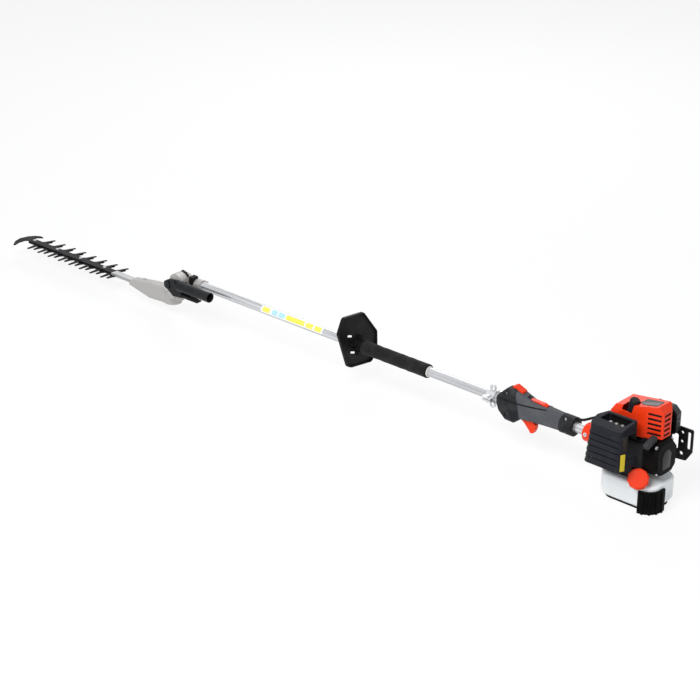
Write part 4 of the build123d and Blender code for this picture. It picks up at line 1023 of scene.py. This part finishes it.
# ---------- sub-assemblies
@dataclass
class Shaft:
    """Shaft tube with its label strip, foam handle, barrier plate and hanger clamp."""

    tube_r: float = 12.5
    clearance: float = 0.05
    foam_rear: float = 492.0
    foam_front: float = 720.0
    foam_r: float = 18.5
    strip_rear: float = 863.0
    strip_front: float = 1097.0
    strip_middle: float = 34.0
    strip_half: float = 47.0
    band_share: float = 0.72
    wave: float = 0.42
    ripple: float = 5.5
    drift: float = 31.0
    highlight_ring_width: float = 1.6

    def label_strip(self) -> None:
        """Thin white strip wrapped on the upper left of the tube, with plain colour bands."""
        r = self.tube_r + self.clearance
        mesh = wrapped_sheet("label_strip", (self.strip_rear, r), (self.strip_front, r), self.strip_middle,
                             self.strip_half)
        yellow, blue, white = (0.90, 0.78, 0.10), (0.42, 0.72, 0.90), (0.88, 0.89, 0.89)
        bands = tuple((station(rear), station(front), colour) for rear, front, colour in (
            (868, 893, yellow), (899, 925, yellow), (931, 1000, yellow), (1006, 1029, blue),
            (1034, 1055, blue), (1064, 1091, yellow)))
        finish = BandedStrip("label_strip_finish", white, bands, math.radians(self.strip_middle),
                             math.radians(self.strip_half * self.band_share))
        piece(mesh, finish)

    def wobble(self, x: float, angle: float) -> float:
        """Soft waves of a foam tube pushed over the shaft, with an even rear end."""
        wave = self.wave if x > self.foam_rear + 2 else 0.0
        return wave * math.sin(x / self.ripple + 1.7 * math.sin(angle)) * math.sin(x / self.drift + angle)

    def foam_handle(self) -> None:
        """Foam handle, slightly uneven along its length, and a pale ring at its rear end that is a painted
        highlight of the tube's bright edge.
        """
        rear, front, r = self.foam_rear, self.foam_front, self.foam_r
        inner, steps = self.tube_r + self.clearance, 96
        profile = [(rear + 0.3, inner), (rear + 0.3, r - 2.6), (rear + 1.2, r - 0.8)]
        profile += [(rear + 3 + (front - rear - 6) * i / steps, r) for i in range(steps + 1)]
        profile += [(front - 1.2, r - 0.8), (front - 0.3, r - 2.6), (front - 0.3, inner)]
        foam = piece(lathe("foam_handle", profile, wobble=self.wobble), FOAM_BLACK)
        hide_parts("foam_grip")
        # pale ring behind the foam: a painted highlight standing in for light caught on the tube
        end, rim = rear - self.highlight_ring_width, self.tube_r + 2.0
        band = [(end, inner), (end, self.tube_r + 1.2), (end + 0.8, rim), (end + 2.4, rim), (end + 2.4, inner)]
        piece(lathe("foam_end_ring", band), NYLON)

    def build(self) -> None:
        """Builds and dresses the shaft."""
        dress({SHAFT_SILVER: "main_tube", NYLON: "shaft_bushes", CASE_BLACK: "hand_guard",
               MACHINED: "drive_shaft clutch_drum drive_pinion pivot_gear",
               BRIGHT_ZINC: "harness_clamp harness_clamp_lower clamp_bolts"})
        self.label_strip()
        self.foam_handle()


@dataclass
class ThrottleGrip:
    """Throttle grip with its controls and the corrugated conduit to the engine."""

    wall_r: float = 2.9
    rib_r: float = 0.7
    pitch: float = 3.4
    seam_r: float = 1.7

    def conduit(self) -> None:
        """Corrugated conduit that follows the CAD conduit's route."""
        route = [(29, -6, 19), (10, -6, 19), (-14, -8, 32), (-40, -13, 46), (-64, -17, 56), (-84, -20, 62)]
        mesh = RIBBED_TUBE.run("control_conduit_ribbed", carrier(spline_points(route)), CASE_BLACK, 60,
                               Wall_Radius=self.wall_r, Ring_Wire=self.rib_r, Pitch=self.pitch)
        tube = piece(mesh, CASE_BLACK)
        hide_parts("control_conduit")

    def moulded_seams(self) -> None:
        """Raised seam along each half of the grip, from its front edge to the palm."""
        route = [(248, 13.5), (214, 14.5), (186, 14.5), (160, 16.5), (130, 19.5), (101, 23)]
        for side, half in ((1, "left"), (-1, "right")):
            line = carrier(skin_line(f"grip_housing_{half}", route, side))
            mesh = BEAD.run(f"grip_seam_{half}", line, CASE_BLACK, 60, Bead_Radius=self.seam_r)
            piece(mesh, CASE_BLACK)

    def build(self) -> None:
        """Builds and dresses the grip."""
        dress({GRIP_PLASTIC: "grip_housing_left grip_housing_right", BRIGHT_ZINC: "grip_screws",
               MACHINED: "trigger_pins", SIGNAL_ORANGE: "throttle_trigger throttle_lockout stop_switch"})
        self.conduit()
        self.moulded_seams()


def moved(x: float, y: float, z: float) -> Matrix:
    """Move by that much, in millimetres."""
    return Matrix.Translation((x, y, z))


def turned(degrees: float, axis: str) -> Matrix:
    """Turn about an axis of the shaft frame."""
    return Matrix.Rotation(math.radians(degrees), 4, axis)


@dataclass
class Engine:
    """Engine with its covers, guards, tank and stand."""

    cowl_slope: float = math.degrees(math.atan2(18.0, 109.0))
    louvre_slope: float = math.degrees(math.atan2(27.0, 124.0))

    def labels(self) -> None:
        """Bare plates on the cowl and the starter, and a plain yellow patch on the guard."""
        window = [(7, -20), (57, -22), (59, 4), (46, 14), (9, 11)]
        stand = moved(-222, 0, 138.8) @ turned(self.cowl_slope, "Y")
        piece(plate("cowl_window", window, 1.2, stand, 0.4, 4.0), BADGE_GLOSS)
        badge = [(-30, -15), (6, -18), (20, -7), (20, 8), (6, 19), (-30, 16)]
        stand = moved(-245, 3, 12) @ turned(-90, "Y")
        piece(plate("starter_badge", badge, 0.9, stand, 0.3, 3.0), BADGE_GLOSS)
        stand = moved(-190.2, 105.7, 17) @ turned(62, "Z") @ turned(-90, "X")
        patch = plate("caution_patch", rectangle(6, 22), 0.8, stand, 0.2, 1.5)
        piece(patch, CAUTION_YELLOW)

    def shade_sheets(self) -> None:
        """Thin dark sheets of painted shade behind the guard's slats, beside the muffler and behind the cowl's
        louvres, standing in for the shade inside those openings.
        """
        upright = turned(90, "X")
        # each sheet is painted shade: a black plate that darkens an opening where only shade falls
        for name, stand, half, tall in (
                ("slat_shield", moved(-138, 99.8, 36) @ upright, 41.0, 42.0),
                ("port_shield", moved(-145, 47.0, 79) @ upright, 40.0, 25.0),
                ("louvre_shield", moved(-213.2, 14.6, 91) @ turned(self.louvre_slope, "Z") @ upright,
                 19.0, 31.0),
                ("rear_shield", moved(-232.8, -4, 92) @ turned(90, "Z") @ upright, 14.0, 30.0)):
            piece(plate(name, rectangle(half, tall), 0.7, stand, 0.15, 4.0), BLACK_METAL)

    def fasteners(self) -> None:
        """Socket-head screws of the starter, the clutch case and the muffler."""
        screw_set("starter_screws", [(-237, -28, 46), (-237, 36, 46), (-237, -30, -22), (-237, 28, -26)],
                  (-1, 0, 0), 4.2, 4.0)
        screw_set("clamp_screw", [(-24, 24.2, 4)], (0, 1, 0), 5.2, 4.0)
        screw_set("muffler_bolts", [(-158, 67, 88.5), (-141, 67, 88.5), (-124, 67, 88.5)], (0, 0, 1), 4.4, 3.4)

    def build(self) -> None:
        """Builds and dresses the engine."""
        dress({SIGNAL_ORANGE: "clutch_case engine_cowl fuel_cap", DIE_CAST: "cylinder carburettor flywheel",
               BLACK_CAST: "crankcase", MACHINED: "spark_plug crankshaft clutch_shoes", HOT_STEEL: "muffler",
               DEEP_BLACK: "starter_housing air_cleaner_body tank_stand", CASE_BLACK: "choke_lever",
               GUARD_GREY: "muffler_guard", COVER_GREY: "air_cleaner_cover starter_handle",
               BOOT_RUBBER: "plug_cap", BLACK_METAL: "side_guard", NYLON: "purge_bulb starter_pulley",
               TANK_MILK: "fuel_tank"})
        self.labels()
        # dark sheets of painted shade in the openings of the guard and the cowl
        self.shade_sheets()
        piece(wrapped_sheet("case_label", (-74, 49.0), (-54, 42.9), 4, 22), LABEL_PALE)
        self.fasteners()


@dataclass
class CuttingHead:
    """Gear head that tilts on the shaft, with its blades and guide bar; all of it is CAD."""

    def build(self) -> None:
        """Dresses the head."""
        dress({DIE_CAST: "upper_gearcase head_gearcase head_nose", BLACK_METAL: "index_plate",
               BLACK_CAST: "tilt_arm", CASE_BLACK: "neck_cover squeeze_lever tip_guard",
               BRIGHT_ZINC: "head_screws blade_bolts", SPINE_COAT: "guide_bar",
               MACHINED: "upper_rod lower_rod upright_shaft idler_gear crank_gear",
               BLADE_COAT: "upper_blade lower_blade"})


# ---------- studio
@dataclass
class Studio:
    """Pale floor, soft light and the camera."""

    lens: float = 99.69
    eye: Point = (-2.268563, 3.491015, 2.266527)
    right: Point = (-0.73654, -0.67639, 0.0)
    up: Point = (0.28117, -0.30618, 0.90950)
    back: Point = (-0.61518, 0.66989, 0.41569)
    floor_half: float = 9.0
    floor_middle: Point = (1.0, 0.0, -0.0005)
    floor_glow: float = 0.82

    def camera(self) -> None:
        """Sets the camera where the view is taken from."""
        data = bpy.data.cameras.new("view_camera")
        data.lens, data.sensor_width, data.sensor_fit = self.lens, 36.0, "HORIZONTAL"
        data.clip_start, data.clip_end = 0.1, 60.0
        camera = shown(bpy.data.objects.new("view_camera", data))
        turn = Matrix((self.right, self.up, self.back)).transposed().to_4x4()
        camera.matrix_world = Matrix.Translation(self.eye) @ turn
        bpy.context.scene.camera = camera

    def floor(self) -> None:
        """Pale floor that shows white and keeps a faint shadow."""
        material = bpy.data.materials.new("pale_floor")
        sheet = emptied(material)
        noise = sheet.noise(sheet.add("ShaderNodeTexCoord").outputs["Object"], 3.0)
        pale = sheet.mix(sheet.maths("MULTIPLY", noise, 0.3), (0.93, 0.93, 0.93), (0.90, 0.90, 0.90))
        matt, glow = sheet.take("ShaderNodeBsdfDiffuse", {"Color": pale}), sheet.take("ShaderNodeEmission")
        sheet.add("ShaderNodeOutputMaterial", {"Surface": sheet.looked_at(matt, glow, self.floor_glow)})
        work = bmesh.new()
        bmesh.ops.create_grid(work, x_segments=8, y_segments=8, size=self.floor_half)
        for vert in work.verts:
            vert.co += Vector(self.floor_middle)
        mesh = bpy.data.meshes.new("floor")
        work.to_mesh(mesh)
        work.free()
        mesh.materials.append(material)
        floor = shown(bpy.data.objects.new("floor", mesh))

    def world(self) -> None:
        """Plain pale surroundings, white where the camera or a gloss sees them."""
        world = bpy.data.worlds.new("studio")
        bpy.context.scene.world = world
        sheet = emptied(world)
        dim = sheet.take("ShaderNodeBackground", {"Strength": 0.50, "Color": (0.96, 0.98, 1.0)})
        white = sheet.take("ShaderNodeBackground", {"Color": (1.0, 1.0, 1.0)})
        sheet.add("ShaderNodeOutputWorld", {"Surface": sheet.looked_at(dim, white, 1.0)})

    def lamp(self, name: str, size: float, power: float, spot: Point, target: Point) -> None:
        """Adds one soft area lamp.

        Args:
            name: the lamp's name.
            size: its width and height in metres.
            power: its power in watts.
            spot: where it hangs, in metres in the row frame.
            target: the point it faces.
        """
        data = bpy.data.lights.new(name, "AREA")
        data.shape, data.size, data.energy = "SQUARE", size, power
        lamp = shown(bpy.data.objects.new(name, data))
        lamp.location = spot
        lamp.rotation_euler = (Vector(target) - Vector(spot)).to_track_quat("-Z", "Y").to_euler()

    def build(self) -> None:
        """Builds the studio."""
        self.camera()
        self.floor()
        self.world()
        self.lamp("key_lamp", 1.8, 110.0, (0.2, 2.4, 3.0), (1.0, 0.0, 0.1))
        self.lamp("back_lamp", 2.0, 36.0, (2.6, -2.4, 2.2), (1.1, 0.0, 0.1))
        bpy.context.scene.view_settings.view_transform = "Standard"


def main() -> None:
    """Builds the trimmer's looks and the studio."""
    for assembly in (Shaft(), ThrottleGrip(), Engine(), CuttingHead(), Studio()):
        assembly.build()
        LOG.info("%s done", type(assembly).__name__)


if __name__ == "__main__":
    main()
